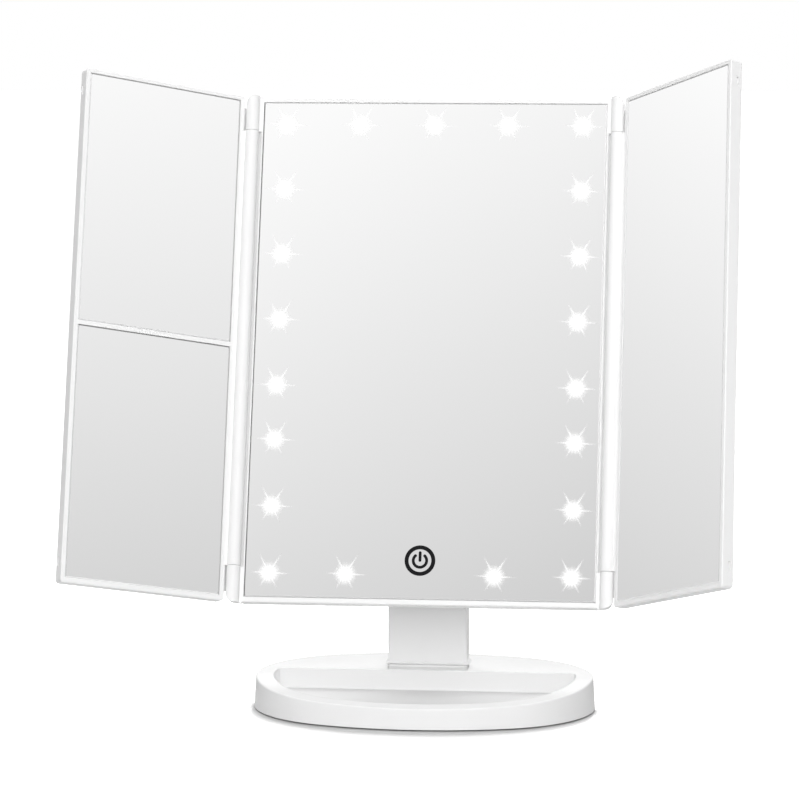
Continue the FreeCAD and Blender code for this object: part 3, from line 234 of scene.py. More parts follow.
# ---------------- base outline
def oval_depth(x, y, sizes):
    """How far a point lies inside the base's oval, negative outside.

    The oval is two end arcs of radius r = (w^2 + d^2 - 2 R d) / (2 (w - R)) about (+-(w - r), 0),
    tangent to two long arcs of radius R about (0, +-(R - d)). Depth is r or R less the distance
    to the centre of the arc whose sector holds the point."""
    width, depth, radius = sizes.base_half_width, sizes.base_half_depth, sizes.base_long_radius
    end = (width ** 2 + depth ** 2 - 2 * radius * depth) / (2 * (width - radius))
    reach, rise = width - end, radius - depth
    x, y = np.abs(x), np.abs(y)
    in_end_sector = x - reach > y * reach / rise
    return np.where(in_end_sector, end - np.hypot(x - reach, y), radius - np.hypot(x, y + rise))


def tray_depth(x, y, sizes):
    """How far a point lies inside the tray's outline, negative outside: the oval moved in by the
    rim, cut straight at the back, with its two back corners rounded by radius r. With a and b the
    depths behind the two edges, depth = r - hypot(max(r - a, 0), max(r - b, 0)) - min(max(r - a,
    r - b), 0)."""
    radius = sizes.tray_corner
    u = radius - (oval_depth(x, y, sizes) - sizes.tray_rim)
    v = radius - (sizes.tray_back - y)
    outside = np.hypot(np.maximum(u, 0), np.maximum(v, 0))
    return radius - outside - np.minimum(np.maximum(u, v), 0)


def along_rays(depth_of, wanted, angle, start, reach):
    """Points on rays from a start where depth_of equals a wanted depth, by halving the interval
    for all the rays at once."""
    ahead = np.stack([np.cos(angle), np.sin(angle)], axis=-1)
    near, far = np.zeros_like(angle), np.full_like(angle, reach)
    for _ in range(HALVINGS):
        middle = (near + far) / 2
        inside = depth_of(*(start + middle[:, None] * ahead).T) > wanted
        near, far = np.where(inside, middle, near), np.where(inside, far, middle)
    return start + near[:, None] * ahead


def base_top_height(y, sizes):
    """Height of the base's top: level behind the crease, a slope in front, and between them an arc
    of the crease radius, written as top - slope * overlap(t) with t the distance in front."""
    slope = (sizes.base_top - sizes.base_front_top) / (sizes.base_half_depth + sizes.slope_start)
    blend = sizes.crease_radius * math.atan(slope)
    ahead = sizes.slope_start - y
    soft = np.clip(ahead + blend / 2, 0, blend)
    return sizes.base_top - slope * (soft ** 2 / (2 * blend) + np.maximum(ahead - blend / 2, 0))


# ---------------- material building
def feed(tree, node, inputs):
    """Gives a node's inputs what they are named with: a socket is linked, a value is set."""
    for key, value in inputs.items():
        if isinstance(value, bpy.types.NodeSocket):
            tree.links.new(value, node.inputs[key])
        else:
            node.inputs[key].default_value = value


def add_node(tree, kind, inputs=None, **settings):
    """Adds one node with its settings and inputs, and gives its output sockets."""
    node = tree.nodes.new("ShaderNode" + kind)
    for key, value in settings.items():
        setattr(node, key, value)
    feed(tree, node, inputs or {})
    return node.outputs


def maths(tree, operation, first, second=0.0, third=0.0, clamp=False):
    """Result of one sum on up to three values or sockets."""
    return add_node(tree, "Math", {0: first, 1: second, 2: third}, operation=operation,
                    use_clamp=clamp)[0]


def ramp(tree, value, to_low, to_high, low=0.0, high=1.0, **settings):
    """Value between low and high, carried over to between to_low and to_high."""
    return add_node(tree, "MapRange", {"Value": value, "From Min": low, "From Max": high,
                                       "To Min": to_low, "To Max": to_high}, **settings)[0]


def noise(tree, place, scale, detail=2.0):
    """Soft noise over a place, about 0.5."""
    return add_node(tree, "TexNoise", {"Vector": place, "Scale": scale, "Detail": detail})["Fac"]


def scaled(tree, colour, factor):
    """Colour or vector times a number."""
    return add_node(tree, "VectorMath", {0: colour, "Scale": factor}, operation="SCALE")[0]


def mixed(tree, share, first, second, kind="RGBA"):
    """Colour between two colours, or with the kind FLOAT number between two numbers."""
    return add_node(tree, "Mix", {"Factor": share, "A": first, "B": second},
                    data_type=kind)["Result"]


def own_place(tree):
    """Place on the piece, in its Object coordinates."""
    return add_node(tree, "TexCoord")["Object"]


def attribute(tree, name):
    """Value that the piece's mesh carries under a name."""
    return add_node(tree, "Attribute", attribute_name=name)["Fac"]


def relief(tree, height, strength):
    """Normal bumped by a height between 0 and 1."""
    return add_node(tree, "Bump", {"Height": height, "Strength": strength,
                                   "Distance": BUMP_DISTANCE})[0]


def with_alpha(colour):
    """Colour as four numbers."""
    return (*colour, 1.0)


def new_material(name):
    """Node material that holds a Principled shader and its output."""
    material = bpy.data.materials.new(name)
    material.use_nodes = True
    tree = material.node_tree
    tree.nodes.clear()
    shader = tree.nodes.new("ShaderNodeBsdfPrincipled")
    output = tree.nodes.new("ShaderNodeOutputMaterial")
    tree.links.new(shader.outputs[0], output.inputs["Surface"])
    return material, tree, shader


def new_group(name, inputs):
    """Shader node group with named inputs that gives Colour, Roughness and Height; with it come
    the sockets of its inputs and the node of its outputs."""
    group = bpy.data.node_groups.new(name, "ShaderNodeTree")
    for socket, kind, default in inputs:
        item = group.interface.new_socket(name=socket, in_out="INPUT",
                                          socket_type="NodeSocket" + kind)
        item.default_value = default
    for socket, kind in (("Colour", "Color"), ("Roughness", "Float"), ("Height", "Float")):
        group.interface.new_socket(name=socket, in_out="OUTPUT", socket_type="NodeSocket" + kind)
    return group, group.nodes.new("NodeGroupInput").outputs, group.nodes.new("NodeGroupOutput")


@cache
def moulded_skin():
    """Group for a moulded part: a slow tint drift, a fine pebble for the bump, and roughness that
    changes with both. Scale is in pebbles per metre."""
    group, start, end = new_group("moulded_skin", [
        ("Colour", "Color", (0.9, 0.9, 0.9, 1)), ("Roughness", "Float", 0.3),
        ("Pebble Scale", "Float", 900.0), ("Drift", "Float", 0.02),
        ("Roughness Spread", "Float", 0.06)])
    place = own_place(group)
    slow = noise(group, place, scale=18.0)
    pebble = noise(group, place, start["Pebble Scale"], detail=3.0)
    shade = ramp(group, slow, 0.0, start["Drift"], low=0.3, high=0.7)
    tint = scaled(group, start["Colour"], maths(group, "SUBTRACT", 1.0, shade))
    around = maths(group, "SUBTRACT", maths(group, "ADD", slow, pebble), 1.0)
    rough = maths(group, "MULTIPLY_ADD", around, start["Roughness Spread"], start["Roughness"],
                  clamp=True)
    feed(group, end, {"Colour": tint, "Roughness": rough, "Height": pebble})
    return group


@cache
def drawn_metal():
    """Group for metal drawn or rolled along one axis: streaks from noise stretched along it, for
    the colour, the roughness and the bump."""
    group, start, end = new_group("drawn_metal", [
        ("Colour", "Color", (0.6, 0.6, 0.6, 1)), ("Roughness", "Float", 0.3),
        ("Stretch", "Vector", (1, 1, 1)), ("Contrast", "Float", 0.15)])
    stretched = add_node(group, "VectorMath", {0: own_place(group), 1: start["Stretch"]},
                         operation="MULTIPLY")[0]
    streak = noise(group, stretched, scale=900.0, detail=4.0)
    swing = maths(group, "SUBTRACT", streak, 0.5)
    gain = maths(group, "MULTIPLY_ADD", swing, start["Contrast"], 1.0)
    rough = maths(group, "MULTIPLY_ADD", swing, start["Contrast"], start["Roughness"], clamp=True)
    feed(group, end, {"Colour": scaled(group, start["Colour"], gain), "Roughness": rough,
                      "Height": streak})
    return group


# ---------------- finishes
# Each function adds a finish's nodes and gives what the shader's sockets get.
def dressed(tree, colours, group, colour, bump, values, sockets=None):
    """Finish whose colour, roughness and bump come from a node group with its own values."""
    inputs = {"Colour": with_alpha(getattr(colours, colour)), **values}
    skin = add_node(tree, "Group", inputs, node_tree=group())
    normal = {"Normal": relief(tree, skin["Height"], bump)} if bump else {}
    return {"Base Color": skin["Colour"], "Roughness": skin["Roughness"], **normal,
            **(sockets or {})}


def board_mask(tree, colours):
    """White solder mask over copper: a grid of faint raised tracks."""
    place = own_place(tree)
    board = with_alpha(colours.board)
    tracks = add_node(tree, "TexBrick", {
        "Vector": place, "Scale": 220.0, "Mortar Size": 0.06, "Color1": board, "Color2": board,
        "Mortar": with_alpha(0.86 * c for c in colours.board)})
    rough = ramp(tree, noise(tree, place, scale=1400.0), 0.35, 0.5)
    return {"Base Color": tracks["Color"], "Roughness": rough,
            "Normal": relief(tree, tracks["Fac"], 0.3)}


def cell_sleeve(tree, colours):
    """Plain dark battery sleeve with a faint metallic grain."""
    grain = noise(tree, own_place(tree), scale=700.0, detail=3.0)
    tint = mixed(tree, grain, with_alpha(colours.sleeve),
                 with_alpha(1.25 * c for c in colours.sleeve))
    return {"Base Color": tint, "Roughness": ramp(tree, grain, 0.25, 0.4), "Metallic": 0.6}


def led_lens(tree, colours):
    """Clear-moulded LED with its yellowish phosphor."""
    grain = noise(tree, own_place(tree), scale=2200.0)
    glow = mixed(tree, grain, with_alpha(colours.phosphor), with_alpha(colours.lamp))
    return {"Base Color": glow, "Emission Color": glow, "Emission Strength": 0.6,
            "Roughness": 0.25}


def mirror_silver(tree, colours):
    """Silvered glass: a true mirror, except where the attribute rim is 1. There the ground edge takes the
    lightness given per side by an attribute: the edge's own grey, darkened on some sides to paint the shade of the
    gaps beside them."""
    rim = attribute(tree, "rim")
    cloud = noise(tree, own_place(tree), scale=9.0, detail=1.0)
    silver = scaled(tree, colours.silver, ramp(tree, cloud, 0.985, 1.0))
    # ground edge's grey per side, with painted shade on the darker sides
    edge = scaled(tree, colours.glass_edge, attribute(tree, "edge_grey_and_shade"))
    return {"Base Color": mixed(tree, rim, silver, edge), "Roughness": ramp(tree, rim, 0.012, 0.45),
            "Metallic": ramp(tree, rim, 1.0, 0.0)}


def lamp_window(tree, colours):
    """Frosted lamp window: a glowing white core with a soft fringe, and thin tapering rays that paint the lamp's
    glare as a star.

    With (u, v) the attributes across and up, r = hypot(u, v) and a = atan2(v, u), the nearest ray
    is d = r * |a - a_ray| away. With left = 1 - r / L a ray is as wide as 0.1 * left, and reaches
    L = 0.86 + 0.13 cos(a - 75 degrees), so the upper rays are the longest. The core fades out from
    r = 0.205 to 0.53, with 17 small waves of 0.07 in its edge. Only the front shows."""
    rays = bpy.context.scene.vanity_sizes.glare_rays
    waves = 17
    across, up = attribute(tree, "across"), attribute(tree, "up")
    calc = partial(maths, tree)
    radius = calc("SQRT", calc("MULTIPLY_ADD", across, across, calc("MULTIPLY", up, up)))
    angle = calc("ARCTAN2", up, across)
    # the rays are painted glare round the lamp
    nearest = calc("PINGPONG", calc("MULTIPLY_ADD", angle, rays / math.tau, 0.03), 0.5)
    away = calc("MULTIPLY", calc("MULTIPLY", nearest, math.tau / rays), radius)
    swing = calc("COSINE", calc("SUBTRACT", angle, math.radians(75)))
    reach = calc("MULTIPLY_ADD", swing, 0.13, 0.86)
    left = calc("SUBTRACT", 1.0, calc("DIVIDE", radius, reach), clamp=True)
    width = calc("MULTIPLY_ADD", left, 0.10, 0.012)
    thin = calc("SUBTRACT", 1.0, calc("DIVIDE", away, width), clamp=True)
    ray = calc("MULTIPLY", thin, calc("MULTIPLY", left, 1.7, clamp=True), clamp=True)
    fringe = calc("PINGPONG", calc("MULTIPLY", angle, waves / math.tau), 0.5)
    edge = calc("MULTIPLY_ADD", fringe, 0.07, radius)
    core = ramp(tree, edge, 1.0, 0.0, low=0.205, high=0.53, interpolation_type="SMOOTHSTEP")
    front = calc("SUBTRACT", 1.0, add_node(tree, "NewGeometry")["Backfacing"])
    return {"Base Color": with_alpha(0.6 * Vector(colours.lamp)), "Roughness": 0.4,
            "Emission Color": with_alpha(colours.lamp), "Emission Strength": 0.40,
            "Alpha": calc("MULTIPLY", calc("MAXIMUM", core, ray, clamp=True), front)}


# Each finish: its material's name and function, and for a dressed one its group, colour and bump,
# the group's values and the shader's own.
FINISHES = {
    # glossy white moulded plastic with a faint orange peel
    "white_plastic": ("gloss_white_plastic", dressed, moulded_skin, "plastic", 0.06, {
        "Roughness": 0.22, "Pebble Scale": 420.0, "Drift": 0.012, "Roughness Spread": 0.05},
        {"IOR": 1.46}),
    # matt grained plastic in narrow gaps, on the tray's floor and round the stem's neck, greyed to paint the shade
    # that falls there
    "recess": ("recess_plastic", dressed, moulded_skin, "recess", 0.1, {
        "Roughness": 0.6, "Pebble Scale": 2600.0, "Drift": 0.04, "Roughness Spread": 0.1}),
    # matt white plastic with a spark-eroded grain
    "white_underside": ("matt_white_plastic", dressed, moulded_skin, "underside", 0.3, {
        "Roughness": 0.55, "Pebble Scale": 2600.0, "Drift": 0.03, "Roughness Spread": 0.15}),
    # dark matt rubber with a grained face
    "rubber": ("grey_rubber", dressed, moulded_skin, "rubber", 0.5, {
        "Roughness": 0.8, "Pebble Scale": 1500.0, "Drift": 0.25, "Roughness Spread": 0.2}),
    # milky nylon
    "nylon": ("milky_nylon", dressed, moulded_skin, "nylon", 0.15, {
        "Roughness": 0.42, "Pebble Scale": 1800.0, "Drift": 0.05, "Roughness Spread": 0.1}),
    # black screen print with a slightly uneven sheen
    "print": ("black_print", dressed, moulded_skin, "print_black", 0.0, {
        "Roughness": 0.5, "Pebble Scale": 3000.0, "Drift": 0.2, "Roughness Spread": 0.1},
        {"Specular IOR Level": 0.1}),
    # zinc-plated steel with faint turning marks
    "steel": ("zinc_plated_steel", dressed, drawn_metal, "steel", 0.15, {
        "Roughness": 0.32, "Stretch": (4.0, 4.0, 0.4), "Contrast": 0.3}, {"Metallic": 1.0}),
    # nickel-plated contact steel, rolled along its length
    "plated_steel": ("nickel_plated_steel", dressed, drawn_metal, "nickel", 0.1, {
        "Roughness": 0.25, "Stretch": (0.3, 4.0, 4.0), "Contrast": 0.2}, {"Metallic": 1.0}),
    # copper foil of the touch sensor
    "copper_foil": ("copper_foil", dressed, drawn_metal, "copper", 0.1, {
        "Roughness": 0.35, "Stretch": (0.5, 3.0, 3.0), "Contrast": 0.25}, {"Metallic": 1.0}),
    "circuit_board": ("white_circuit_board", board_mask),
    "cell_can": ("battery_sleeve", cell_sleeve),
    "led": ("led_lens", led_lens),
    "silvered_glass": ("silvered_mirror", mirror_silver),
    "lamp_window": ("lamp_glow", lamp_window),
}


@cache
def material_of(finish):
    """The one material of a finish, made when it is first asked for."""
    name, make, *values = FINISHES[finish]
    material, tree, shader = new_material(name)
    feed(tree, shader, make(tree, bpy.context.scene.vanity_colours, *values))
    return material


def finish_nodes(*slots):
    """Gives every node of the named slots its material."""
    for node, slot in SLOT_OF.items():
        if slot in slots:
            for place in NODES[node].material_slots:
                place.material = material_of(slot)


# ---------------- settings
def length(name, description, default):
    """Length property in metres."""
    return FloatProperty(name=name, description=description, default=default, min=0.0,
                         unit="LENGTH")


def colour(name, description, default):
    """Colour property."""
    return FloatVectorProperty(name=name, description=description, default=default, min=0.0,
                               max=1.0, size=3, subtype="COLOR")


def degrees(name, description, default):
    """Angle property, its default given in degrees."""
    return FloatProperty(name=name, description=description, default=math.radians(default),
                         subtype="ANGLE")


def watts(name, description, default):
    """Power property in watts."""
    return FloatProperty(name=name, description=description, default=default, unit="POWER")


class VanityMirrorSizes(bpy.types.PropertyGroup):
    """Sizes of the pieces made here."""
    base_half_width: length("Base half width", "Half of the base's width at its top", 0.0794)
    base_half_depth: length("Base half depth", "Half of the base's depth at its top", 0.0590)
    base_long_radius: length("Base long radius", "Radius of the base's front and back arcs", 0.126)
    base_draft: length("Base draft", "How much wider the base is at its foot", 0.0008)
    base_foot: length("Base foot", "Height of the base moulding's lower edge", BASE_LOW.z)
    base_top: length("Base top", "Height of the level part of the base", BASE_HIGH.z)
    base_front_top: length("Base front top", "Height of the base's top at the front edge", 0.0102)
    slope_start: FloatProperty(name="Slope start", default=-0.007, unit="LENGTH",
                               description="Where the top starts to fall to the front")
    crease_radius: length("Crease radius", "Radius between the level and the sloping top", 0.080)
    base_rim_radius: length("Rim radius", "Roundness of the base's upper edge", 0.0009)
    base_wall: length("Base wall", "Thickness of the base's wall", 0.0022)
    tray_rim: length("Tray rim", "Width of the rim round the tray", 0.0083)
    tray_back: length("Tray back", "Place of the tray's straight back wall", 0.010)
    tray_depth: length("Tray depth", "Depth of the tray under the level top", 0.0095)
    tray_corner: length("Tray corner", "Radius of the tray's back corners", 0.0015)
    tray_lip_radius: length("Tray lip radius", "Roundness of the tray's upper edge", 0.0005)
    tray_floor_radius: length("Tray floor radius", "Roundness round the tray's floor", 0.0012)
    barrel_radius: length("Barrel radius", "Radius of the wings' hinge barrels", 0.0031)
    hinge_gap: length("Hinge gap", "Gap between the centre frame and a barrel", 0.0011)
    guard_gap: length("Guard gap", "Room between a barrel's back and its guard strip", 0.0006)
    guard_thick: length("Guard thickness", "Thickness of a guard strip", 0.0010)
    guard_reach: length("Guard reach", "How far a guard strip stands out from the frame", 0.0026)
    guard_end: length("Guard end", "How far a guard strip stops from the frame's ends", 0.0140)
    guard_trim: length("Guard trim", "How far a wing's guard stops from the wing's ends", 0.0050)
    grain_thick: length("Grain thickness", "How far the tray's grain stands up", 0.00004)
    bead_reach: length("Bead reach", "How far the stem's bead stands out", 0.0013)
    collar_thick: length("Collar thickness", "How far the collar stands out from the stem", 0.0002)
    collar_depth: length("Collar depth", "Depth of the collar from front to back", 0.0120)
    collar_height: length("Collar height", "Height of the collar over the base", 0.0012)
    collar_corner: length("Collar corner", "Corner radius of the collar", 0.0012)
    glass_arris: length("Glass arris", "Width of the ground edge of the glass", 0.00035)
    glass_corner: length("Glass corner", "Corner radius of the glass", 0.0006)
    lamp_spot: length("Lamp spot", "Radius of a lamp's whole glow, rays included", 0.0118)
    glare_rays: IntProperty(name="Glare rays", description="Rays round a lamp", default=6, min=4)
    symbol_radius: length("Symbol ring radius", "Middle radius of the symbol's ring", 0.00622)
    symbol_stroke: length("Symbol ring stroke", "Width of the symbol's ring", 0.00185)
    power_radius: length("Power arc radius", "Middle radius of the power sign's arc", 0.00312)
    power_stroke: length("Power arc stroke", "Width of the power sign's arc and bar", 0.00135)
    symbol_height: length("Symbol height", "Height of the switch symbol up the glass", 0.0183)


class VanityMirrorColours(bpy.types.PropertyGroup):
    """Colours of the finishes."""
    plastic: colour("Plastic", "Glossy white plastic", (0.90, 0.90, 0.90))
    # grey that paints the shade in the hinge gaps, on the tray's floor and round the stem's neck
    recess: colour("Painted shade", "Matt plastic in gaps and on the tray's floor", (0.72, 0.72, 0.72))
    underside: colour("Underside", "Matt white plastic under the base", (0.82, 0.82, 0.82))
    rubber: colour("Rubber", "Non-slip pad", (0.035, 0.035, 0.037))
    nylon: colour("Nylon", "Friction washers", (0.80, 0.79, 0.74))
    steel: colour("Steel", "Screws, pins, axle and nut", (0.55, 0.56, 0.58))
    nickel: colour("Nickel", "Contacts, springs and socket", (0.66, 0.64, 0.60))
    copper: colour("Copper", "Touch sensor foil", (0.74, 0.42, 0.28))
    board: colour("Board", "Circuit boards", (0.78, 0.80, 0.78))
    sleeve: colour("Sleeve", "Battery sleeves", (0.10, 0.11, 0.13))
    silver: colour("Silver", "Mirror", (0.955, 0.955, 0.955))
    glass_edge: colour("Glass edge", "Lightest ground edge of the mirrors", (0.95, 0.95, 0.95))
    lamp: colour("Lamp", "Light of the lamps", (1.0, 1.0, 1.0))
    phosphor: colour("Phosphor", "LED phosphor", (0.92, 0.85, 0.45))
    print_black: colour("Print", "Switch symbol", (0.008, 0.008, 0.009))


class VanityMirrorStudio(bpy.types.PropertyGroup):
    """Camera and light."""
    camera_azimuth: degrees("Camera azimuth", "Turn of the camera to the right", 6.11)
    camera_elevation: degrees("Camera elevation", "Rise of the camera", 6.33)
    camera_roll: degrees("Camera roll", "Turn of the camera about its view", 0.07)
    camera_distance: length("Camera distance", "Distance from the camera to its target", 1.8346)
    camera_lens: FloatProperty(name="Lens", description="Focal length", default=177.07,
                               unit="CAMERA")
    target: FloatVectorProperty(name="Target", description="Point that the camera looks at",
                                default=(-0.012, 0.0, 0.1455), size=3, subtype="TRANSLATION")
    front_power: watts("Front power", "Power of the soft lamp in front", 20.7)
    front_azimuth: degrees("Front azimuth", "Turn of the front lamp to the right", 5.0)
    front_elevation: degrees("Front elevation", "Rise of the front lamp", 20.0)
    top_power: watts("Top power", "Power of the soft lamp above the front", 9.5)
    top_elevation: degrees("Top elevation", "Rise of the lamp above the front", 57.0)
    back_power: watts("Back power", "Power of the soft lamp above and behind", 17.5)
    back_elevation: degrees("Back elevation", "Rise of the lamp behind", 42.0)
    high_power: watts("High power", "Power of the soft lamp high behind", 16.0)
    high_elevation: degrees("High elevation", "Rise of the lamp high behind", 68.0)
    fill: FloatProperty(name="Room light", description="Strength of the light from all round",
                        default=0.085)


# ---------------- operators
class VANITY_OT_mouldings(bpy.types.Operator):
    """Finishes the white mouldings: frames, wing backs, head housing, stem and battery door"""
    bl_idname = "vanity.mouldings"
    bl_label = "White mouldings"

    def execute(self, context):
        finish_nodes("white_plastic", "white_underside", "rubber", "nylon")
        for node in NODES.values():
            node.visible_glossy = False
        return {"FINISHED"}


class VANITY_OT_hardware(bpy.types.Operator):
    """Finishes the metal, the boards, the cells and the LEDs"""
    bl_idname = "vanity.hardware"
    bl_label = "Hardware and electronics"

    def execute(self, context):
        finish_nodes("steel", "plated_steel", "copper_foil", "circuit_board", "cell_can", "led")
        return {"FINISHED"}


class VANITY_OT_base(bpy.types.Operator):
    """Makes the tray base with its rounded rim, sloping top and half-moon tray"""
    bl_idname = "vanity.base"
    bl_label = "Tray base"

    def execute(self, context):
        sizes = context.scene.vanity_sizes
        base = add_piece("tray_base", base_rings(sizes)[None], "white_plastic", "base",
                         "white_plastic", "base_shell", sharp=math.radians(40))
        # thin grained sheet on the tray's floor, greyed to paint the shade in the tray
        grain = add_piece("tray_floor_shade_grain", shaded_grain_rings(sizes)[None], "recess", "base",
                          "white_underside")
        base.visible_glossy = grain.visible_glossy = True
        return {"FINISHED"}


def base_outlines(sizes):
    """Two functions that give rings of points on rays from the tray's middle: oval(inset), so deep
    inside the base's oval, and tray(outset), so far outside the tray's outline."""
    count = 360
    rays = np.arange(count) * math.tau / count
    start = (0.0, (sizes.tray_back + sizes.tray_rim - sizes.base_half_depth) / 2)
    reach = 2 * sizes.base_half_width

    def oval(inset):
        return along_rays(lambda x, y: oval_depth(x, y, sizes), inset, rays, start, reach)

    def tray(outset):
        return along_rays(lambda x, y: tray_depth(x, y, sizes), -outset, rays, start, reach)

    return oval, tray


def shaded_grain_rings(sizes):
    """Two rings, (2, n, 3), of a grained sheet over the tray's floor, just under and over it; its grey paints the
    floor's shade.
    """
    tray = base_outlines(sizes)[1]
    floor = sizes.base_top - sizes.tray_depth
    return lifted(tray(-sizes.tray_floor_radius),
                  (floor - sizes.grain_thick, floor + sizes.grain_thick))


def base_rings(sizes):
    """Rings of the base moulding, (m, n, 3), along rays from the tray's middle.

    A ring is where one of two outlines has a given depth: the oval, for the walls and the rim, or
    the tray, for the lip and the well. From the closed end under the tray the rings run out below
    the top, down inside the wall, over the foot, up the drafted outside, round the rim by
    inset = r (1 - cos a), drop = r (1 - sin a), across the top, round the lip and into the well."""
    oval, tray = base_outlines(sizes)

    def top(flat, drop):
        return np.column_stack([flat, base_top_height(flat[:, 1], sizes) - drop])

    def level(flat, z):
        return np.insert(flat, 2, z, axis=1)

    wall, rim, lip = sizes.base_wall, sizes.base_rim_radius, sizes.tray_lip_radius
    floor, corner = sizes.base_top - sizes.tray_depth, sizes.tray_floor_radius
    under, side, rim_end, lip_start = tray(wall), oval(wall), oval(rim), tray(lip)
    across = np.linspace(0, 1, 10)[1:-1]
    turns = np.linspace(0, math.pi / 2, 7)
    curve = [(1 - math.cos(turn), 1 - math.sin(turn)) for turn in turns]
    rings = [level(under, floor - wall)]
    rings += [top(under + (side - under) * share, wall) for share in (0.0, 0.5, 1.0)]
    rings += [level(side, sizes.base_foot), level(oval(-sizes.base_draft), sizes.base_foot)]
    rings += [top(oval(rim * one), rim * other) for one, other in curve]
    rings += [top(rim_end + (lip_start - rim_end) * share, 0.0) for share in across]
    rings += [top(tray(lip * other), lip * one) for one, other in curve]
    rings += [level(tray(-corner * one), floor + corner * other) for one, other in curve]
    rings += [level(tray(-corner - lip), floor)]
    return np.array(rings)


class VANITY_OT_collar(bpy.types.Operator):
    """Makes a thin grey ring in the groove between the stem's bead and the base, which paints the shade under the
    bead
    """
    bl_idname = "vanity.collar"
    bl_label = "Stem neck shade ring"

    def execute(self, context):
        sizes = context.scene.vanity_sizes
        low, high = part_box("stem_shell")
        inset = sizes.bead_reach - sizes.collar_thick
        front = low.y + inset
        outline = rounded_rectangle(low.x + inset, high.x - inset, front,
                                    front + sizes.collar_depth, sizes.collar_corner, 8)
        heights = sizes.base_top - sizes.collar_thick, sizes.base_top + sizes.collar_height
        # thin grey ring that paints the shade under the stem's bead
        add_piece("stem_neck_shade_ring", lifted(outline, heights)[None], "recess", "base", "white_plastic")
        return {"FINISHED"}


class VANITY_OT_guards(bpy.types.Operator):
    """Makes the grey strips behind the hinge barrels, on the head and on each wing, which paint the shade in the
    hinge gaps
    """
    bl_idname = "vanity.guards"
    bl_label = "Hinge gap shade strips"

    def execute(self, context):
        sizes = context.scene.vanity_sizes
        behind = sizes.barrel_radius + sizes.guard_gap
        ends = node_ends("centre_frame", "head", sizes.guard_end)
        hinge = body_axes("head").inverted() @ Vector(JOINTS["right_wing_fold"]["pos_m"])
        inner = hinge.x - sizes.barrel_radius - sizes.hinge_gap - sizes.guard_thick / 2
        strips = [guard_strip(side * inner, side * (inner + sizes.guard_reach), hinge.y + behind,
                              ends, sizes.guard_thick) for side in (-1, 1)]
        # grey strips behind the barrels paint the shade in the hinge gaps
        add_piece("hinge_gap_shade_strips", np.array(strips), "recess", "head", "white_plastic")
        for side, body in ((-1, "left_wing"), (1, "right_wing")):
            ends = node_ends(body + "_frame", body, sizes.guard_trim)
            strip = guard_strip(0.0, side * GUARD_SHARE * sizes.barrel_radius, behind, ends,
                                sizes.guard_thick)
            add_piece(body + "_gap_shade_strip", strip[None], "recess", body, "white_plastic")
        return {"FINISHED"}


def node_ends(node, body, trim):
    """Heights of a node's low and high end in a body's own axes, each trimmed."""
    low, high = own_box(node, body)
    return low[2] + trim, high[2] - trim


def guard_strip(x_start, x_end, y_start, ends, thick):
    """Two rings, (2, n, 3), of an upright strip with rounded edges, at its low and its high end."""
    x0, x1 = sorted((x_start, x_end))
    return lifted(rounded_rectangle(x0, x1, y_start, y_start + thick, thick / 4, 4), ends)


class VANITY_OT_glass(bpy.types.Operator):
    """Makes the four mirror panes with their ground edges"""
    bl_idname = "vanity.glass"
    bl_label = "Mirror glass"

    def execute(self, context):
        sizes = context.scene.vanity_sizes
        arris, corner = sizes.glass_arris, sizes.glass_corner
        for name, (node, body, edge_greys_and_shade) in PANES.items():
            low, high = own_box(node, body)
            silvered = pane_rings(low, high, 2 * arris, corner)[-1:]
            rings = np.concatenate([pane_rings(low, high, arris, corner), silvered])
            rim = np.ones(rings.shape[:2])
            rim[-1] = 0.0
            add_piece(name, rings[None], "silvered_glass", body, "silvered_glass", node,
                      values={"rim": rim, "edge_grey_and_shade": side_values(rings, edge_greys_and_shade)},
                      sharp=math.radians(5))
        return {"FINISHED"}


class VANITY_OT_lamps(bpy.types.Operator):
    """Makes the frosted glowing spots in front of the lamps, with painted glare rays"""
    bl_idname = "vanity.lamps"
    bl_label = "Lamp windows"

    def execute(self, context):
        sizes = context.scene.vanity_sizes
        low, high = own_box("centre_mirror", "head")
        middles = lamp_middles(node_points("lamps", "head"))[:, None, None, :]
        shells = middles + glow_rings(sizes, low[1])
        edge = 2 * sizes.glass_arris
        for way in (0, 2):
            shells[..., way] = shells[..., way].clip(low[way] + edge, high[way] - edge)
        across, up = ((shells - middles)[..., way] / sizes.lamp_spot for way in (0, 2))
        add_piece("lamp_windows", shells, "lamp_window", "head", "led",
                  values={"across": across, "up": up})
        return {"FINISHED"}


def lamp_middles(corners):
    """Middle (x, 0, z) of each LED: corners within LED_SPAN of each other belong to one LED, and
    each corner is filed under the first corner that is so near."""
    flat = corners[:, [0, 2]]
    near = np.hypot(*(flat[:, None] - flat[None]).transpose(2, 0, 1)) < LED_SPAN
    first = near.argmax(1)
    return np.array([np.insert(flat[first == k].mean(0), 1, 0.0) for k in np.unique(first)])


def glow_rings(sizes, front):
    """One lamp spot as a thin closed lens, (m, n, 3): radius R * s at depth front - t (1 - s^2),
    closed by a flat back."""
    count = 48
    angles = np.arange(count) * math.tau / count
    share = np.array([0.05, 1.0, 0.75, 0.5, 0.25, 0.05])[:, None]
    depth = front - GLOW_GAP - GLOW_THICK * (1 - share ** 2)
    depth[0] = front - GLOW_GAP
    across, up = (sizes.lamp_spot * share * way(angles) for way in (np.cos, np.sin))
    return np.stack([across, np.broadcast_to(depth, across.shape), up], axis=-1)


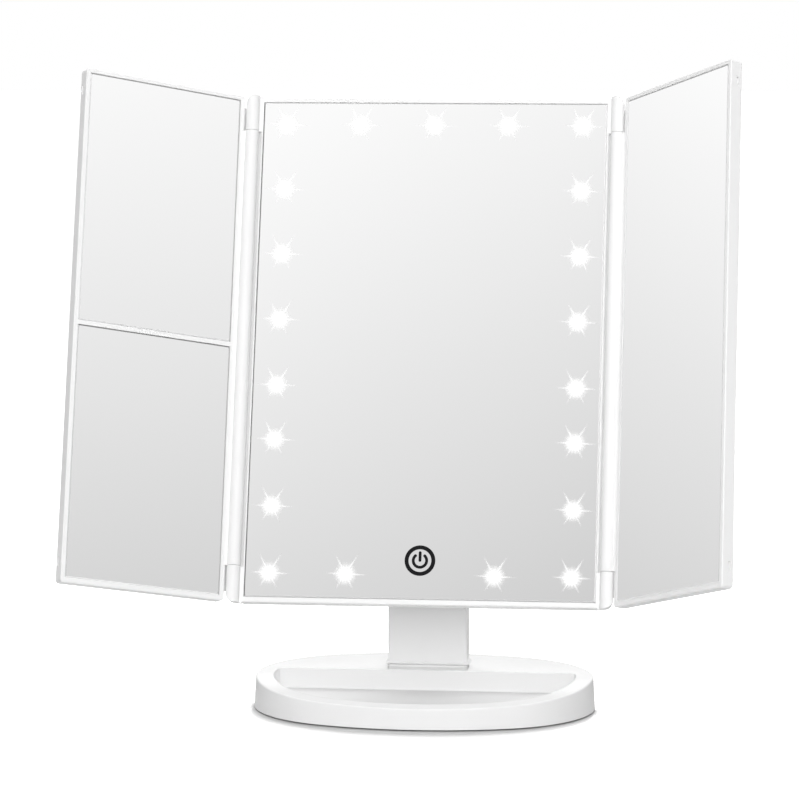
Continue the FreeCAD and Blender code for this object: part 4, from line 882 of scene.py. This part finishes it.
class VANITY_OT_symbol(bpy.types.Operator):
    """Makes the printed touch-switch symbol: a ring with a power sign inside"""
    bl_idname = "vanity.symbol"
    bl_label = "Switch symbol"

    def execute(self, context):
        sizes = context.scene.vanity_sizes
        low, high = own_box("centre_mirror", "head")
        middle = np.array([(low[0] + high[0]) / 2, low[2] + sizes.symbol_height])
        depths = low[1] - PRINT_FRONT, low[1] - PRINT_BACK

        def stroke(name, path, angles, width, capped=True, round_ends=True):
            band = band_along(middle + path, angles, width / 2, *depths, round_ends=round_ends)
            add_piece(name, band[None], "print", "head", "rubber", capped=capped)

        around = np.linspace(0, math.tau, 121)
        stroke("symbol_ring", arc_path(sizes.symbol_radius, around), around + math.pi / 2,
               sizes.symbol_stroke, capped=False, round_ends=False)
        sweep = np.linspace(math.pi / 2 + POWER_GAP, 5 * math.pi / 2 - POWER_GAP, 73)
        stroke("power_arc", arc_path(sizes.power_radius, sweep), sweep + math.pi / 2,
               sizes.power_stroke)
        height = sizes.power_radius * np.linspace(*POWER_BAR, 3)
        stroke("power_bar", np.stack([np.zeros(3), height], axis=-1), np.full(3, math.pi / 2),
               sizes.power_stroke)
        return {"FINISHED"}


def arc_path(radius, angles):
    """Points of a circle at the given angles, radius * (cos a, sin a)."""
    return radius * np.stack([np.cos(angles), np.sin(angles)], axis=-1)


class VANITY_OT_stage(bpy.types.Operator):
    """Makes the pale floor, the room light, the four soft lamps and the camera"""
    bl_idname = "vanity.stage"
    bl_label = "Studio"

    def execute(self, context):
        scene, studio = context.scene, context.scene.vanity_studio
        make_world(scene, studio)
        make_floor(scene, scene.vanity_sizes)
        # name, power, azimuth, elevation, width and height
        for lamp in (
                ("front_lamp", studio.front_power, studio.front_azimuth, studio.front_elevation,
                 1.0, 1.2),
                ("top_lamp", studio.top_power, 0.0, studio.top_elevation, 1.0, 1.0),
                ("back_lamp", studio.back_power, math.pi, studio.back_elevation, 2.6, 0.7),
                ("high_lamp", studio.high_power, math.pi, studio.high_elevation, 2.6, 0.7)):
            make_lamp(scene, *lamp)
        make_camera(scene, studio)
        scene.view_settings.view_transform = "Standard"
        return {"FINISHED"}


def make_world(scene, studio):
    """Room: white where the camera looks, an even fill, and for reflections a dome whose
    brightness rises with height, b = 0.70 + 2.65 (z - 0.4906 + 0.3417 |x| - 0.1139 x), held
    between 0.25 and 1.02, and which is 1 at the back, where y passes from 0.5 to 0.8."""
    world = bpy.data.worlds.new("room")
    scene.world = world
    world.use_nodes = True
    tree = world.node_tree
    tree.nodes.clear()
    calc = partial(maths, tree)
    ray = add_node(tree, "LightPath")
    way = add_node(tree, "SeparateXYZ", {0: add_node(tree, "TexCoord")["Generated"]})
    lean = calc("MULTIPLY_ADD", calc("ABSOLUTE", way["X"]), 0.3417, way["Z"])
    lean = calc("MULTIPLY_ADD", way["X"], -0.1139, lean)
    dome = ramp(tree, lean, 0.25, 1.02, low=0.4906 - 0.17, high=0.4906 + 0.12)
    behind = ramp(tree, way["Y"], 0.0, 1.0, low=0.5, high=0.8, interpolation_type="SMOOTHSTEP")
    dome = mixed(tree, behind, dome, 1.0, "FLOAT")
    strength = mixed(tree, ray["Is Glossy Ray"], studio.fill, dome, "FLOAT")
    seen = calc("MAXIMUM", ray["Is Camera Ray"], ray["Is Transmission Ray"])
    strength = mixed(tree, seen, strength, 1.0, "FLOAT")
    light = add_node(tree, "Background", {"Color": (1, 1, 1, 1), "Strength": strength})[0]
    tree.links.new(light, tree.nodes.new("ShaderNodeOutputWorld").inputs["Surface"])


def make_floor(scene, sizes):
    """Round pale floor: rings closed by one face in the middle. White is added for reflections far
    out, and for the camera round the base's foot, so that only the shadow in front of it shows.

    With X = |x| / half width, the foot's outline is e = half depth * sqrt(1 - X^2). The white is
    the largest of (-y - e - 6 mm) / 18 mm in front, (y - e) / 4 mm behind and (X - 1) / 0.05
    beside. Far out it rises from 0 to 1 between 0.5 and 1 m from the middle."""
    count = 96
    angles = np.arange(count) * math.tau / count
    radii = np.array([0.2, 0.6, 1.5, 4.0, 9.0])
    rings = radii[:, None, None] * arc_path(1.0, angles)
    faces = ring_faces(len(radii), count)[:, ::-1].tolist() + [list(range(count))]
    mesh = bpy.data.meshes.new("floor")
    mesh.from_pydata(np.insert(rings.reshape(-1, 2), 2, 0.0, axis=1).tolist(), [], faces)
    mesh.update()
    floor = bpy.data.objects.new("floor", mesh)
    scene.collection.objects.link(floor)
    material, tree, shader = new_material("pale_floor")
    calc = partial(maths, tree)
    place = own_place(tree)
    axis = add_node(tree, "SeparateXYZ", {0: place})
    share = calc("DIVIDE", calc("ABSOLUTE", axis["X"]), sizes.base_half_width + sizes.base_draft)
    root = calc("SQRT", calc("MAXIMUM", calc("SUBTRACT", 1.0, calc("POWER", share, 2.0)), 0.0))
    edge = calc("MULTIPLY", root, sizes.base_half_depth + sizes.base_draft)
    ahead = calc("SUBTRACT", calc("MULTIPLY_ADD", axis["Y"], -1.0, -0.006), edge)
    front = calc("DIVIDE", ahead, 0.018)
    back = calc("DIVIDE", calc("SUBTRACT", axis["Y"], edge), 0.004)
    side = calc("DIVIDE", calc("SUBTRACT", share, 1.0), 0.05)
    near = ramp(tree, calc("MAXIMUM", calc("MAXIMUM", front, back), side), 0.0, 1.0)
    distance = add_node(tree, "VectorMath", {0: place}, operation="LENGTH")["Value"]
    far = ramp(tree, distance, 0.0, 1.0, low=0.5, high=1.0)
    ray = add_node(tree, "LightPath")
    bounced = calc("MAXIMUM", ray["Is Glossy Ray"], ray["Is Transmission Ray"])
    direct = calc("MULTIPLY", ray["Is Camera Ray"], near)
    white = calc("MAXIMUM", direct, calc("MULTIPLY", bounced, far))
    feed(tree, shader, {"Base Color": (0.64, 0.64, 0.64, 1), "Roughness": 0.65,
                        "Specular IOR Level": 0.2, "Emission Color": (1, 1, 1, 1),
                        "Emission Strength": white})
    mesh.materials.append(material)


def direction(azimuth, elevation):
    """Unit vector from the object towards a place at an azimuth to the right of the front."""
    flat = math.cos(elevation)
    return Vector((math.sin(azimuth) * flat, -math.cos(azimuth) * flat, math.sin(elevation)))


def make_lamp(scene, name, power, azimuth, elevation, width, height):
    """Rectangular soft lamp that faces the object's middle."""
    data = bpy.data.lights.new(name, "AREA")
    data.energy = power
    data.shape = "RECTANGLE"
    data.size = width
    data.size_y = height
    lamp = bpy.data.objects.new(name, data)
    scene.collection.objects.link(lamp)
    lamp.visible_glossy = False
    way = direction(azimuth, elevation)
    lamp.location = way * LAMP_DISTANCE + LAMP_AIM
    lamp.rotation_euler = way.to_track_quat("Z", "Y").to_euler()


def make_camera(scene, studio):
    """Camera on the studio's azimuth and elevation, looking at its target."""
    data = bpy.data.cameras.new("camera")
    data.sensor_width = 36.0
    data.lens = studio.camera_lens
    data.clip_end = 50.0
    camera = bpy.data.objects.new("camera", data)
    scene.collection.objects.link(camera)
    way = direction(studio.camera_azimuth, studio.camera_elevation)
    camera.location = Vector(studio.target) + way * studio.camera_distance
    facing = way.to_track_quat("Z", "Y").to_matrix() @ Matrix.Rotation(studio.camera_roll, 3, "Z")
    camera.rotation_euler = facing.to_euler()
    scene.camera = camera


class VANITY_PT_panel(bpy.types.Panel):
    """Vanity mirror tools"""
    bl_idname = "VANITY_PT_panel"
    bl_label = "Vanity mirror"
    bl_space_type = "VIEW_3D"
    bl_region_type = "UI"
    bl_category = "Vanity mirror"

    def draw(self, context):
        for operator in OPERATORS:
            self.layout.operator(operator.bl_idname)
        for settings in (getattr(context.scene, name) for name in SETTINGS):
            box = self.layout.box()
            for key in settings.bl_rna.properties.keys()[2:]:
                box.prop(settings, key)


OPERATORS = (VANITY_OT_mouldings, VANITY_OT_hardware, VANITY_OT_base, VANITY_OT_collar,
             VANITY_OT_guards, VANITY_OT_glass, VANITY_OT_lamps, VANITY_OT_symbol, VANITY_OT_stage)
SETTINGS = {"vanity_sizes": VanityMirrorSizes, "vanity_colours": VanityMirrorColours,
            "vanity_studio": VanityMirrorStudio}
CLASSES = (*SETTINGS.values(), *OPERATORS, VANITY_PT_panel)


def register():
    for item in CLASSES:
        bpy.utils.register_class(item)
    for name, settings in SETTINGS.items():
        setattr(bpy.types.Scene, name, PointerProperty(type=settings))


def unregister():
    for name in SETTINGS:
        delattr(bpy.types.Scene, name)
    for item in reversed(CLASSES):
        bpy.utils.unregister_class(item)


def main():
    """Makes every piece in order."""
    register()
    bpy.ops.vanity.mouldings()
    bpy.ops.vanity.hardware()
    bpy.ops.vanity.base()
    bpy.ops.vanity.collar()
    bpy.ops.vanity.guards()
    bpy.ops.vanity.glass()
    bpy.ops.vanity.lamps()
    bpy.ops.vanity.symbol()
    bpy.ops.vanity.stage()


if __name__ == "__main__":
    main()
